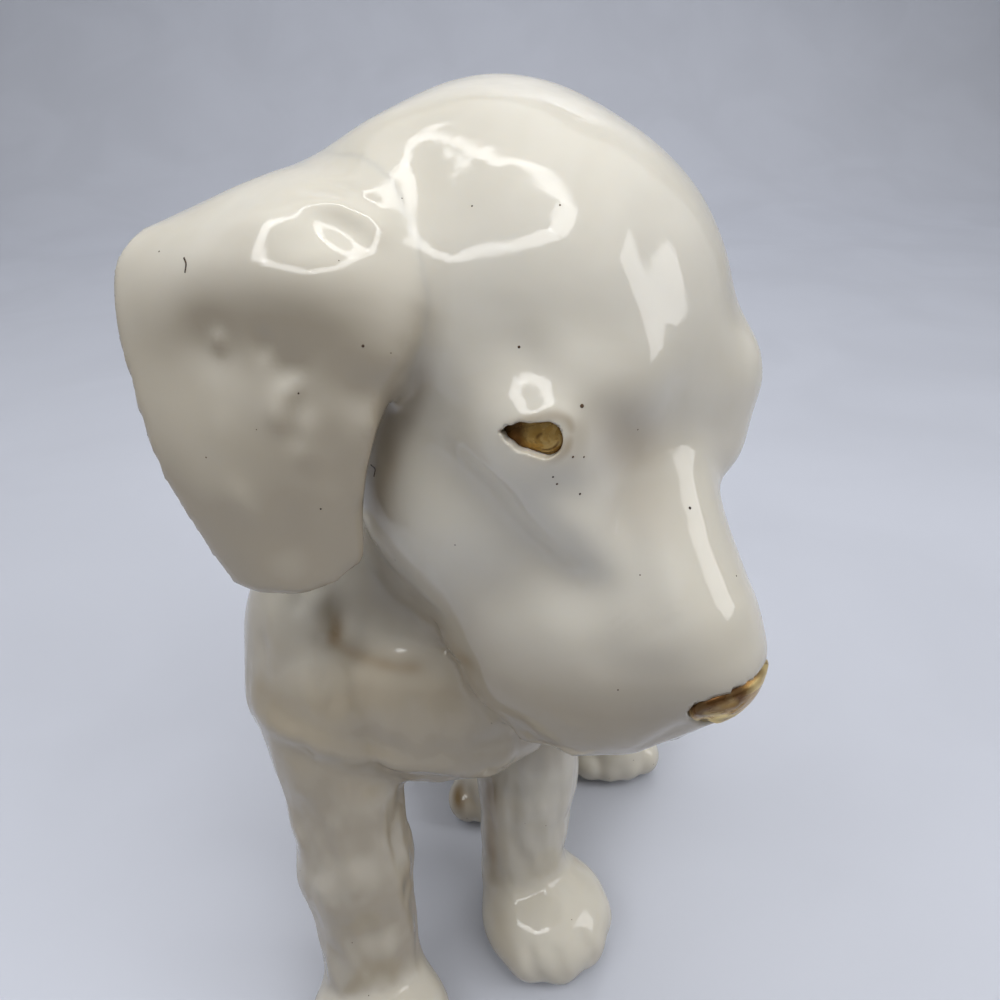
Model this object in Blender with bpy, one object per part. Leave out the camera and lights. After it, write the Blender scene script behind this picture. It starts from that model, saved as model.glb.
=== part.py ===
"""Seated porcelain puppy, slip-cast in pieces that are luted together, glazed and gilded.

The puppy faces -Y with its right side towards -X, and looks down to its left. The origin is under
its seat. Sizes are in millimetres and become metres when a mesh is made. Each casting starts as
clay: round lobes that are fused, pared back, smoothed and then cut along the seams.
"""

from dataclasses import dataclass
from math import cos, radians, sin

import bmesh
import bpy
from mathutils import Euler, Matrix, Vector

MM = 0.001

# Reach of the tools that cut level with the floor
FLOOR_REACH = 150.0
FLOOR_DEPTH = 50.0

# Seams and walls
LUTING_GAP = 0.3
WALL = 4.0
VENT_DIAMETER = 7.0
VENT_SETBACK = 11.0

# Triangles left in each mesh
BODY_TRIANGLES = 4000
HEAD_TRIANGLES = 2600
EAR_TRIANGLES = 650
TAIL_TRIANGLES = 300
CAVITY_TRIANGLES = 600
GILT_TRIANGLES = 260

# Clay: the size of its voxels and how far hollows between lobes are filled
BODY_VOXEL = 1.3
HEAD_VOXEL = 1.2
EAR_VOXEL = 1.1
FOLD_FILL = 5.0

# Head: where its middle is, how it is held, and its sizes
HEAD_CENTRE = Vector((-0.5, -71.3, 146.5))
HEAD_TURN = 29.6
HEAD_BOW = 47.8
SKULL_WIDTH = 56.0
SKULL_LENGTH = 57.0
SKULL_HEIGHT = 51.0
OCCIPUT_WIDTH = 45.0
BROW_SPACING = 30.0
BROW_RADIUS = 7.0
CHEEKBONE_RADIUS = 5.8
CHEEK_SPACING = 34.0
CHEEK_WIDTH = 29.0
MUZZLE_LENGTH = 64.0
BRIDGE_WIDTH = 26.0
FLEWS_SPACING = 22.0
FLEWS_WIDTH = 25.0
EYE_SPACING = 0.707 * SKULL_WIDTH
EYE_LENGTH = 7.8
EYE_HEIGHT = 4.6
EYE_DEPTH = 4.4
LID_MARGIN = 3.1
LID_LIFT = -2.6
SOCKET_MARGIN = 0.8
SOCKET_LIFT = 2.0
NOSE_WIDTH = 15.2
NOSE_HEIGHT = 7.6
NOSE_DEPTH = 7.6

# Ears
EAR_THICKNESS = 8.0
EAR_LENGTH = 63.0
RIGHT_EAR_STANDOFF = 22.0
LEFT_EAR_STANDOFF = 14.0
LEFT_EAR_DROP = 2.5

# Torso
CHEST_WIDTH = 54.0
BIB_WIDTH = 47.0
NECK_WIDTH = 46.0
NECK_FOOT = Vector((-13.0, -62.0, 100.0))
NECK_HEAD = Vector((-5.0, -54.0, 132.0))
NECK_SEAM = 0.5
NECK_BORE = 26.0
SEAM_MARGIN = 1.5
RUMP_WIDTH = 70.0
RUMP_MIDDLE = Vector((8.0, 0.0, 31.0))
THIGH_SPACING = 56.0
THIGH_LENGTH = 49.0
TAIL_WIDTH = 16.0

# Legs and feet
FORELEG_WIDTH = 19.4
PAW_WIDTH = 29.0
PAW_LENGTH = 29.0
PAW_REACH = 9.8
TOE_WIDTH = 10.6
RIGHT_PASTERN = Vector((-35.8, -90.5, 14.0))
LEFT_PASTERN = Vector((-1.4, -72.5, 14.0))
RIGHT_TOE_OUT = 4.0
LEFT_TOE_OUT = 24.0
FORELEG_SEAM = 46.0
HIND_FOOT_WIDTH = 25.0
HIND_FOOT_HEIGHT = 19.0
LEFT_HIND_FOOT = Vector((31.0, -36.5, 7.6))
RIGHT_HIND_FOOT = Vector((-4.5, -45.0, 7.6))
HIND_FOOT_SEAM = 5.5
TOE_DROP = 4.2

GLAZE = ((0.78, 0.75, 0.67), 0.08, 0.0)
GILDING = ((0.62, 0.38, 0.11), 0.28, 1.0)


@dataclass
class Lobe:
    """An ellipsoid of clay: its middle, its half sizes and how it is turned, in millimetres."""

    centre: Vector
    radii: tuple
    turn: Matrix = Matrix.Identity(3)

    def points(self, extra):
        """Points all over the lobe when it is thicker by extra."""
        scale = Matrix.Diagonal([radius + extra for radius in self.radii])
        return [self.centre + self.turn @ scale @ unit for unit in unit_sphere()]


@dataclass
class Limb:
    """A round tapered stick of clay between two points, in millimetres."""

    start: Vector
    end: Vector
    start_radius: float
    end_radius: float

    def points(self, extra):
        """Points all over the limb when it is thicker by extra."""
        ends = ((self.start, self.start_radius), (self.end, self.end_radius))
        return [
            middle + (radius + extra) * unit for middle, radius in ends for unit in unit_sphere()
        ]


def unit_sphere(_made=[]):
    """The corners of an icosphere of radius 1."""
    if not _made:
        mesh = bmesh.new()
        bmesh.ops.create_icosphere(mesh, subdivisions=4, radius=1.0)
        _made.extend(vertex.co.copy() for vertex in mesh.verts)
        mesh.free()
    return _made


def turned(x=0.0, y=0.0, z=0.0):
    """The rotation by these angles in degrees about X, then Y, then Z."""
    return Euler((radians(x), radians(y), radians(z))).to_matrix()


def head_frame():
    """The head's axes as columns: towards its left side, its nose and its crown."""
    level = Vector((sin(radians(HEAD_TURN)), -cos(radians(HEAD_TURN)), 0))
    nose = level * cos(radians(HEAD_BOW)) - Vector((0, 0, sin(radians(HEAD_BOW))))
    left = Vector((cos(radians(HEAD_TURN)), sin(radians(HEAD_TURN)), 0))
    return Matrix((left, nose, nose.cross(left))).transposed()


HEAD = head_frame()


def on_head(left, nose, crown):
    """The place that lies this far from the head's middle along the head's own axes."""
    return HEAD_CENTRE + HEAD @ Vector((left, nose, crown))


def head_lobe(place, radii, yaw=0.0):
    """A lobe placed and aligned in the head's axes."""
    return Lobe(on_head(*place), radii, HEAD @ turned(z=yaw))


def head_limb(start, end, start_radius, end_radius):
    """A limb placed in the head's axes."""
    return Limb(on_head(*start), on_head(*end), start_radius, end_radius)


def link(name, mesh):
    """A new object of this mesh in the scene."""
    obj = bpy.data.objects.new(name, mesh)
    bpy.context.scene.collection.objects.link(obj)
    return obj


def settle(obj):
    """Makes the shape that the modifiers give the object's own mesh, and removes them."""
    graph = bpy.context.evaluated_depsgraph_get()
    mesh = bpy.data.meshes.new_from_object(obj.evaluated_get(graph))
    old = obj.data
    obj.modifiers.clear()
    obj.data = mesh
    bpy.data.meshes.remove(old)
    return obj


def discard(*objects):
    """Removes helper objects with their meshes."""
    for obj in objects:
        mesh = obj.data
        bpy.data.objects.remove(obj)
        bpy.data.meshes.remove(mesh)


def duplicate(obj, name):
    """A second object with its own copy of the mesh."""
    return link(name, obj.data.copy())


def fused(obj, voxel, smoothing):
    """Fuses overlapping shapes in one mesh into a single skin and smooths it."""
    remesh = obj.modifiers.new("Fuse", "REMESH")
    remesh.mode = "VOXEL"
    remesh.voxel_size = voxel * MM
    smooth = obj.modifiers.new("Smooth", "SMOOTH")
    smooth.factor = 0.5
    smooth.iterations = smoothing
    return settle(obj)


def grown(obj, distance):
    """Moves the skin outwards by a distance in millimetres, or inwards where it is negative."""
    displace = obj.modifiers.new("Grow", "DISPLACE")
    displace.strength = distance * MM
    displace.mid_level = 0.0
    return settle(obj)


def thinned(obj, triangles):
    """Reduces the mesh to about this many triangles."""
    count = sum(len(face.vertices) - 2 for face in obj.data.polygons)
    decimate = obj.modifiers.new("Thin", "DECIMATE")
    decimate.ratio = min(1.0, triangles / count)
    decimate.use_collapse_triangulate = True
    return settle(obj)


def add_lobes(obj, lobes, extra=0.0):
    """Adds the hull of each lobe to the object's mesh."""
    whole = bmesh.new()
    whole.from_mesh(obj.data)
    for lobe in lobes:
        shape = bmesh.new()
        for point in lobe.points(extra):
            shape.verts.new(point * MM)
        hull = bmesh.ops.convex_hull(shape, input=shape.verts)
        inner = [item for item in hull["geom_interior"] if isinstance(item, bmesh.types.BMVert)]
        bmesh.ops.delete(shape, geom=inner, context="VERTS")
        bmesh.ops.recalc_face_normals(shape, faces=shape.faces)
        piece = bpy.data.meshes.new("lobe")
        shape.to_mesh(piece)
        shape.free()
        whole.from_mesh(piece)
        bpy.data.meshes.remove(piece)
    whole.to_mesh(obj.data)
    whole.free()
    return obj


def clay(name, lobes, voxel, inset=0.0):
    """Lobes laid on thicker by the fold fill, fused, and pared back. An inset makes it smaller."""
    obj = add_lobes(link(name, bpy.data.meshes.new(name)), lobes, FOLD_FILL - inset)
    fused(obj, voxel, 8)
    return grown(obj, -FOLD_FILL)


def modelled(obj, voxel, details, hollows=()):
    """Presses hollows into the clay, adds its finer lobes and fuses it again."""
    for hollow in hollows:
        tool = add_lobes(link("tool", bpy.data.meshes.new("tool")), [hollow])
        cut(obj, tool)
        discard(tool)
    add_lobes(obj, details)
    return fused(obj, voxel, 4)


def cut(obj, cutter, operation="DIFFERENCE"):
    """Cuts the object by another one, or keeps what both share."""
    boolean = obj.modifiers.new("Cut", "BOOLEAN")
    boolean.operation = operation
    boolean.object = cutter
    boolean.solver = "EXACT"
    return settle(obj)


def block(name, low, high, extra=0.0):
    """A box between two corners, larger by extra on every side."""
    mesh = bmesh.new()
    bmesh.ops.create_cube(mesh, size=1.0)
    low = Vector(low) - Vector((extra,) * 3)
    high = Vector(high) + Vector((extra,) * 3)
    for vertex in mesh.verts:
        share = vertex.co + Vector((0.5, 0.5, 0.5))
        vertex.co = Vector(a + s * (b - a) for a, b, s in zip(low, high, share)) * MM
    data = bpy.data.meshes.new(name)
    mesh.to_mesh(data)
    mesh.free()
    return link(name, data)


def level_block(name, top):
    """A wide block whose top lies level at this height."""
    low = (-FLOOR_REACH, -FLOOR_REACH, -FLOOR_DEPTH)
    return block(name, low, (FLOOR_REACH, FLOOR_REACH, top))


def plug(name, start, axis, radius, length):
    """A cylinder from a point along an axis."""
    mesh = bmesh.new()
    turn = axis.to_track_quat("Z", "Y").to_matrix().to_4x4()
    place = Matrix.Translation((start + axis.normalized() * length / 2) * MM) @ turn
    bmesh.ops.create_cone(
        mesh,
        cap_ends=True,
        segments=32,
        radius1=radius * MM,
        radius2=radius * MM,
        depth=length * MM,
        matrix=place,
    )
    data = bpy.data.meshes.new(name)
    mesh.to_mesh(data)
    mesh.free()
    return link(name, data)


def forelegs():
    """The limbs and paws of both front legs."""
    half = FORELEG_WIDTH / 2
    lobes = []
    for pastern, lean, toe_out in (
        (RIGHT_PASTERN, Vector((-2.2, 8.5, 66)), RIGHT_TOE_OUT),
        (LEFT_PASTERN, Vector((2.4, 5.5, 62)), LEFT_TOE_OUT),
    ):
        knee = pastern + 0.45 * lean
        lobes.append(Limb(pastern + lean, knee, half + 1.6, half + 0.2))
        lobes.append(Limb(knee, pastern, half + 0.2, half))
        ahead = turned(z=toe_out)
        middle = pastern + ahead @ Vector((0, -PAW_REACH, -6.2))
        lobes.append(Lobe(middle, (PAW_WIDTH / 2, PAW_LENGTH / 2, 9.3), ahead))
    return lobes


def foreleg_toes():
    """Four toes on the front of each front paw."""
    toes = []
    for pastern, toe_out in ((RIGHT_PASTERN, RIGHT_TOE_OUT), (LEFT_PASTERN, LEFT_TOE_OUT)):
        ahead = turned(z=toe_out)
        middle = pastern + ahead @ Vector((0, -PAW_REACH, -7.4))
        for angle in (-54, -18, 18, 54):
            reach = Vector((sin(radians(angle)), -cos(radians(angle)), 0))
            place = middle + ahead @ (reach * (PAW_LENGTH - TOE_WIDTH) / 2 * 1.06)
            toes.append(Lobe(place, (TOE_WIDTH / 2, TOE_WIDTH / 2, TOE_WIDTH / 2 + 0.6)))
    return toes


def hind_feet():
    """The long soles of the hind feet, which lie flat beside the belly."""
    half = HIND_FOOT_WIDTH / 2 - 3
    heels = ((LEFT_HIND_FOOT, Vector((-1.5, 24, 1))), (RIGHT_HIND_FOOT, Vector((-7, 26, 1))))
    return [Limb(foot + heel, foot, half, half - 0.3) for foot, heel in heels]


def hind_toes():
    """Four toes on the front of each hind foot."""
    toes = []
    pitch = (HIND_FOOT_WIDTH - TOE_WIDTH) / 3
    for foot in (LEFT_HIND_FOOT, RIGHT_HIND_FOOT):
        for index in range(4):
            across = (index - 1.5) * pitch
            place = foot + Vector((across, abs(index - 1.5) * 1.3 - TOE_DROP, -1.8))
            toes.append(Lobe(place, (TOE_WIDTH / 2, TOE_WIDTH / 2 + 0.8, TOE_WIDTH / 2)))
    return toes


def torso():
    """Chest, shoulders, neck, back, rump and thighs."""
    chest, rump = CHEST_WIDTH / 2, RUMP_WIDTH / 2
    lobes = [
        Limb(Vector((-13, -52, 84)), RUMP_MIDDLE + Vector((-4, -8, 15)), chest - 1, rump - 4),
        Lobe(Vector((-15, -60, 84)), (chest, 24, 30)),
        Lobe(Vector((-18, -74, 80)), (chest - 4, 13, 20)),
        Lobe(Vector((-13 - chest, -74, 84)), (12, 15, 24)),
        Lobe(Vector((-23 + chest, -62, 84)), (13, 16, 24)),
        neck(),
        Lobe(RUMP_MIDDLE, (rump, 30, RUMP_MIDDLE.z + 5)),
    ]
    for side, back in ((1, 0), (-1, 5)):
        middle = RUMP_MIDDLE + Vector((side * THIGH_SPACING / 2, back - 11, -6))
        lobes.append(Lobe(middle, (16, THIGH_LENGTH / 2, middle.z + 1)))
    return lobes


def neck():
    """The neck, which the body and the head share across their seam."""
    radius = NECK_WIDTH / 2
    return Limb(NECK_FOOT, NECK_HEAD, radius + 1, radius - 2)


def bib():
    """The ruff of fur that stands off the chest over the tops of the front legs."""
    return [Lobe(Vector((-22, -81.5, 76.2)), (BIB_WIDTH / 2, 12, 17.4), turned(x=12, z=-12))]


def tail():
    """The tail, lying on the floor round the puppy's left side."""
    route = ((2, 24, 9), (14, 33, 8), (28, 33, 7), (38, 26, 6))
    widths = [TAIL_WIDTH * share for share in (1.1, 0.95, 0.8, 0.62)]
    points = [Vector((RUMP_MIDDLE.x + x, y, z)) for x, y, z in route]
    return [
        Limb(points[i], points[i + 1], widths[i] / 2, widths[i + 1] / 2)
        for i in range(len(points) - 1)
    ]


def skull():
    """The lobes of the head without its ears, eyes and nose."""
    width, length, height = SKULL_WIDTH / 2, SKULL_LENGTH / 2, SKULL_HEIGHT / 2
    lobes = [
        head_lobe((0, 2.5, -1), (width, length, height)),
        head_lobe((-0.8, -13.6, -3), (OCCIPUT_WIDTH / 2, 18.9, 20)),
        neck(),
        head_limb((0, 22, -6), (0, MUZZLE_LENGTH - 12, -7), 16.5, BRIDGE_WIDTH / 2),
        head_lobe((0, MUZZLE_LENGTH - 12, -14), (17, 17.5, 15)),
        head_limb((0, 32, 0.5), (0, MUZZLE_LENGTH - 6, -2), 9, 8),
        head_limb((0, 8, -18), (0, MUZZLE_LENGTH - 16, -20), 15, 12),
    ]
    for side in (1, -1):
        cheek, flews = side * CHEEK_SPACING / 2, side * FLEWS_SPACING / 2
        brow, standoff = side * BROW_SPACING / 2, ear_standoff(side)
        lobes += [
            head_lobe((side * (width - 16 + standoff / 4), -15, -3), (standoff / 2, 12, 12.5)),
            head_lobe((cheek, 18, -16), (CHEEK_WIDTH / 2, 21, 16)),
            head_limb((brow * 0.6, 20, 8.5), (brow, 18.8, 7.2), BROW_RADIUS, BROW_RADIUS),
            head_lobe((side * (width - 13.2), 25.8, 6), (CHEEKBONE_RADIUS,) * 3),
            eye_lobe(side, LID_MARGIN, LID_LIFT),
            head_limb((cheek * 0.76, 22, -20), (flews, 46, -22), 15, 13),
            head_lobe((flews, 48, -19), (FLEWS_WIDTH / 2, 19, 16), side * 6),
        ]
    return lobes


def eye_lobe(side, margin=0.0, lift=0.0):
    """The lens of one eye, larger by a margin on every side and lifted off the head."""
    long = Vector((side * -0.59, 0.475, 0.65))
    short = Vector((side * 0.09, 0.82, -0.56))
    outward = Vector((side * 0.80, 0.27, 0.53))
    turn = HEAD @ Matrix((long, short, outward)).transposed()
    place = on_head(side * EYE_SPACING / 2, 22.6, 11.4)
    place += HEAD @ outward * (lift - EYE_DEPTH / 3)
    return Lobe(place, [size / 2 + margin for size in (EYE_LENGTH, EYE_HEIGHT, EYE_DEPTH)], turn)


def eye_hollows():
    """The sockets that the eyes lie in, and the dips between the eyes and the muzzle."""
    sockets = [eye_lobe(side, SOCKET_MARGIN, SOCKET_LIFT) for side in (1, -1)]
    dips = [head_lobe((side * (EYE_SPACING / 2 + 2.5), 29.5, 13.5), (6, 7, 6)) for side in (1, -1)]
    return sockets + dips


def ear_standoff(side):
    """How far this side's ear stands off the skull."""
    return LEFT_EAR_STANDOFF if side > 0 else RIGHT_EAR_STANDOFF


def ear_columns(side):
    """Four rows of places on the middle of the ear, from its front edge to its back edge.

    A row runs from the root over the fold to the tip. Its places are given in the head's axes, the
    first value as a share of how far the ear stands off the skull.
    """
    skull_side = SKULL_WIDTH / 2
    standoff = ear_standoff(side)
    stretch = EAR_LENGTH / 60
    rows = (
        ((-0.23, -7, 6), (-0.09, 1, 7), (0.1, 7.9, 4), (0.28, 15.3, -5.2), (0.34, 22.6, -14.2)),
        ((-0.27, -13, 5), (0.09, -9, 6.5), (0.35, -2.2, 4.8), (0.54, 10.6, -6), (0.55, 24, -17.6)),
        ((-0.32, -21, -1.5), (0.34, -17, -0.5), (0.7, -10, -3.5), (0.92, 6, -12.5), (0.78, 22.5, -21)),
        ((-0.39, -25, -6), (0.66, -21, -10.5), (1.03, -17.5, -13), (1.12, 1.5, -18), (0.92, 18.5, -24)),
    )
    columns = []
    for row in rows:
        root = Vector((0, row[0][1], row[0][2]))
        column = []
        for out, nose, crown in row:
            place = root + (Vector((0, nose, crown)) - root) * stretch
            place.x = side * (skull_side + out * standoff)
            place.z -= LEFT_EAR_DROP if side > 0 else 0.0
            column.append(place)
        columns.append(column)
    return columns


def along(points, share):
    """The place this share of the way along a smooth curve through the points."""
    last = len(points) - 1
    first = min(int(share * last), last - 1)
    part = share * last - first
    a = points[first - 1] if first else 2 * points[0] - points[1]
    b, c = points[first], points[first + 1]
    d = points[first + 2] if first + 2 <= last else 2 * c - b
    bend = (2 * a - 5 * b + 4 * c - d) * part**2 + (3 * b - a - 3 * c + d) * part**3
    return 0.5 * (2 * b + (c - a) * part + bend)


def ear(side):
    """An ear flap: a curved sheet given its thickness and a rounded edge."""
    columns = ear_columns(side)
    rows, spokes = 15, 11
    mesh = bmesh.new()
    grid = []
    for row in range(rows):
        across = [along(column, row / (rows - 1)) for column in columns]
        line = [along(across, spoke / (spokes - 1)) for spoke in range(spokes)]
        grid.append([mesh.verts.new(on_head(*place) * MM) for place in line])
    for row in range(rows - 1):
        for spoke in range(spokes - 1):
            near, far = grid[row], grid[row + 1]
            mesh.faces.new((near[spoke], near[spoke + 1], far[spoke + 1], far[spoke]))
    data = bpy.data.meshes.new("ear")
    mesh.to_mesh(data)
    mesh.free()
    obj = link("left_ear" if side > 0 else "right_ear", data)
    solidify = obj.modifiers.new("Thickness", "SOLIDIFY")
    solidify.thickness = EAR_THICKNESS * MM
    solidify.offset = 0.0
    return fused(settle(obj), EAR_VOXEL, 5)


def eye(side):
    """A gilded eye: an almond-shaped lens, seated in the head."""
    name = "left_eye" if side > 0 else "right_eye"
    obj = link(name, bpy.data.meshes.new(name))
    return thinned(add_lobes(obj, [eye_lobe(side)]), GILT_TRIANGLES)


def nose_pad():
    """The nose leather, half sunk in the tip of the muzzle."""
    half_sizes = (NOSE_WIDTH / 2, NOSE_DEPTH / 2, NOSE_HEIGHT / 2)
    return head_lobe((0, MUZZLE_LENGTH - 1, 0), half_sizes)


def nose():
    """The gilded nose leather, seated in the tip of the muzzle."""
    obj = link("nose", bpy.data.meshes.new("nose"))
    return thinned(add_lobes(obj, [nose_pad()]), GILT_TRIANGLES)


def seats(obj, *neighbours):
    """Cuts a piece clear of its neighbours, which keep their shape, by the luting gap."""
    for neighbour in neighbours:
        larger = grown(duplicate(neighbour, "clearance"), LUTING_GAP)
        cut(obj, larger)
        discard(larger)
    return obj


def part_off(whole, name, low, high):
    """Cuts the piece inside a box off a casting, with the luting gap between them."""
    inside = block("inside", low, high)
    piece = cut(duplicate(whole, name), inside, "INTERSECT")
    outside = block("outside", low, high, LUTING_GAP)
    cut(whole, outside)
    discard(inside, outside)
    return piece


def front_leg_box(pastern, toe_out):
    """The corners of the box that holds a front leg below its seam."""
    half = PAW_WIDTH / 2 + 2.8
    middle = pastern.x + sin(radians(toe_out)) * PAW_REACH
    low = (middle - half, pastern.y - PAW_LENGTH, -5)
    return low, (middle + half, pastern.y + FORELEG_WIDTH / 2 + 6.3, FORELEG_SEAM)


def hind_foot_box(foot):
    """The corners of the box that holds a hind foot ahead of its seam."""
    half = HIND_FOOT_WIDTH / 2 + 3
    low = (foot.x - half, foot.y - HIND_FOOT_WIDTH, -5)
    return low, (foot.x + half, foot.y + HIND_FOOT_SEAM, HIND_FOOT_HEIGHT)


def finish(obj, surface):
    """Gives a piece its own material and smooth shading."""
    colour, roughness, metallic = surface
    material = bpy.data.materials.new(obj.name)
    material.use_nodes = True
    shader = material.node_tree.nodes["Principled BSDF"]
    shader.inputs["Base Color"].default_value = (*colour, 1.0)
    shader.inputs["Roughness"].default_value = roughness
    shader.inputs["Metallic"].default_value = metallic
    obj.data.materials.clear()
    obj.data.materials.append(material)
    obj.data.shade_smooth()
    obj.data.set_sharp_from_angle(angle=radians(45))


def main():
    """Clears the scene and builds the puppy."""
    for obj in list(bpy.data.objects):
        bpy.data.objects.remove(obj)

    body = clay("body_casting", torso() + forelegs(), BODY_VOXEL)
    modelled(body, BODY_VOXEL, bib() + foreleg_toes() + hind_feet() + hind_toes())
    thinned(body, BODY_TRIANGLES)
    floor = level_block("floor", 0.0)
    cut(body, floor)

    head = clay("head_casting", skull(), HEAD_VOXEL)
    modelled(head, HEAD_VOXEL, [], eye_hollows())
    thinned(head, HEAD_TRIANGLES)

    ears = [thinned(ear(side), EAR_TRIANGLES) for side in (-1, 1)]
    for flap in ears:
        seats(flap, head, body)
    tail_casting = add_lobes(link("tail", bpy.data.meshes.new("tail")), tail())
    thinned(fused(tail_casting, EAR_VOXEL, 4), TAIL_TRIANGLES)
    cut(tail_casting, floor)
    seats(tail_casting, body)

    axis = (NECK_HEAD - NECK_FOOT).normalized()
    seam = NECK_FOOT.lerp(NECK_HEAD, NECK_SEAM)
    below = plug("below", seam, -axis, NECK_WIDTH / 2 + SEAM_MARGIN, 50)
    cut(head, below)
    above = plug("above", seam - axis * LUTING_GAP, axis, NECK_WIDTH, 50)
    cut(body, above)
    seats(head, body)

    body_cavity = thinned(clay("body_cavity", torso(), BODY_VOXEL, WALL), CAVITY_TRIANGLES)
    sole = level_block("sole", WALL)
    cut(body_cavity, sole)
    cut(body, body_cavity)
    head_cavity = thinned(clay("head_cavity", skull(), HEAD_VOXEL, WALL), CAVITY_TRIANGLES)
    collar = plug("collar", seam + axis * WALL, -axis, NECK_WIDTH / 2 + SEAM_MARGIN + WALL, 60)
    cut(head_cavity, collar)
    behind = add_lobes(link("behind", bpy.data.meshes.new("behind")), eye_hollows(), WALL)
    fused(add_lobes(behind, [nose_pad()], WALL / 2), HEAD_VOXEL, 0)
    cut(head_cavity, behind)
    throat = grown(duplicate(body, "throat"), WALL)
    cut(head_cavity, throat)
    cut(head, head_cavity)
    bore = plug("bore", seam - axis * WALL, axis, NECK_BORE / 2, 3 * WALL)
    cut(head, bore)
    up = Vector((0, 0, 1))
    vent_foot = Vector((RUMP_MIDDLE.x, VENT_SETBACK, -1))
    vent = plug("vent", vent_foot, up, VENT_DIAMETER / 2, 2 * WALL)
    cut(body, vent)

    eyes = [eye(side) for side in (-1, 1)]
    leather = nose()
    seats(head, *eyes, leather)

    legs = [
        part_off(body, "right_front_leg", *front_leg_box(RIGHT_PASTERN, RIGHT_TOE_OUT)),
        part_off(body, "left_front_leg", *front_leg_box(LEFT_PASTERN, LEFT_TOE_OUT)),
        part_off(body, "right_hind_foot", *hind_foot_box(RIGHT_HIND_FOOT)),
        part_off(body, "left_hind_foot", *hind_foot_box(LEFT_HIND_FOOT)),
    ]
    discard(floor, below, above, collar, behind, throat, bore, body_cavity, head_cavity, vent, sole)

    for obj in [body, head, *ears, tail_casting, *legs]:
        finish(obj, GLAZE)
    for obj in [*eyes, leather]:
        finish(obj, GILDING)


main()
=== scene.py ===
"""Seated porcelain puppy with gilded eyes and nose, on a pale floor under soft studio light.

The porcelain is sculpted as one distance field in millimetres, meshed once, and then divided into
the castings that it stands for, so that the glaze runs over their seams as it does on the figurine.
"""

import logging
from dataclasses import dataclass, field
from enum import Enum
from math import cos, radians, sin
from typing import Callable, Iterable, Iterator, Sequence

import bpy
import numpy as np
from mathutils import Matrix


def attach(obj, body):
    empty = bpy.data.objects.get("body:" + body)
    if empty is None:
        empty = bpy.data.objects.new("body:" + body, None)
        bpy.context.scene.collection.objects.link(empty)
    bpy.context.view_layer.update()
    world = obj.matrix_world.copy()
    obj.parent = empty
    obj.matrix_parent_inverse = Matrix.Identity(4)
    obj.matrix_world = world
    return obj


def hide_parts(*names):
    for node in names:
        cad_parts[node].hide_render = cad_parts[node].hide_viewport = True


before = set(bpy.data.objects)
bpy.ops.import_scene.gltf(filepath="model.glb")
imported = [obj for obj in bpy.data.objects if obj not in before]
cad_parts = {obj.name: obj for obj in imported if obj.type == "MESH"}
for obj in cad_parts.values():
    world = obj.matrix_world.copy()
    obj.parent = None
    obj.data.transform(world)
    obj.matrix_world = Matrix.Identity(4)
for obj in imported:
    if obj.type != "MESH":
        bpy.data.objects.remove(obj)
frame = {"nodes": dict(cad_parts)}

import openvdb
from mathutils import Matrix, Vector

log = logging.getLogger("puppy")

# A millimetre in Blender's metres.
MM = 0.001
# The distance in millimetres at which a field counts as empty.
FAR = 12.0

Array = np.ndarray
Triple = tuple[float, float, float]
Object = bpy.types.Object
Material = bpy.types.Material
Tree = bpy.types.NodeTree
Node = bpy.types.Node
Socket = bpy.types.NodeSocket


class Casting(Enum):
    """The porcelain pieces, each named like the CAD node that it stands for."""

    BODY = "body_casting"
    HEAD = "head_casting"
    RIGHT_EAR = "right_ear"
    LEFT_EAR = "left_ear"
    RIGHT_FRONT_LEG = "right_front_leg"
    LEFT_FRONT_LEG = "left_front_leg"
    RIGHT_HIND_FOOT = "right_hind_foot"
    LEFT_HIND_FOOT = "left_hind_foot"
    TAIL = "tail"


class Tool(Enum):
    """What a mark does to the clay or the glaze along its path."""

    PRESS = "press"
    RAISE = "raise"
    # Paints brown into the colour: painted shade on the porcelain, wear on the gilding.
    STAIN = "stain"


@dataclass(frozen=True)
class Mark:
    """A mark of the modeller's tool or brush.

    Attributes:
        tool: What it does.
        width: How far from its path it fades, in millimetres.
        amount: Its depth or height in millimetres, or from 0 to 1 the strength of its brown:
            painted shade on the porcelain, wear on the gilding.
        path: The points that it passes in the camera's frame of 1000 by 1000 pixels.
    """

    tool: Tool
    width: float
    amount: float
    path: tuple[tuple[float, float], ...]


RAISE, PRESS, STAIN = Tool.RAISE, Tool.PRESS, Tool.STAIN


def table(*rows: tuple) -> tuple[Mark, ...]:
    """Makes marks from rows of a tool, a width, an amount and the points of the path."""
    return tuple(Mark(tool, width, amount, tuple(path)) for tool, width, amount, *path in rows)


def ramp(values: Array, start: float, length: float) -> Array:
    """Rises from 0 at a start to 1 a length further on, or before it where that is negative."""
    return np.clip((values - start) / length, 0, 1)


def listed(grid: Sequence[Array]) -> Array:
    """The places of an open grid, one a row."""
    return np.stack([axis.ravel() for axis in np.broadcast_arrays(*grid)], axis=1)


def put(name: str, data: bpy.types.ID) -> Object:
    """Puts an object with this data in the scene."""
    obj = bpy.data.objects.new(name, data)
    bpy.context.scene.collection.objects.link(obj)
    return obj


def moulded(name: str, places: Array, faces: Sequence[Sequence[int]] = ()) -> Object:
    """Puts a mesh of places in millimetres and faces in the scene."""
    mesh = bpy.data.meshes.new(name)
    mesh.from_pydata((places * MM).tolist(), [], faces)
    return put(name, mesh)


def baked(obj: Object) -> bpy.types.Mesh:
    """The mesh that an object's modifiers make."""
    graph = bpy.context.evaluated_depsgraph_get()
    return bpy.data.meshes.new_from_object(obj.evaluated_get(graph))


def eighths(cell: Array, part: Array) -> Iterator[tuple[Array, Array]]:
    """The eight corners of each place's cell in a grid, with their weights."""
    for corner in np.ndindex(2, 2, 2):
        yield cell + corner, np.prod(np.where(np.array(corner) == 1, part, 1 - part), axis=1)


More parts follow.
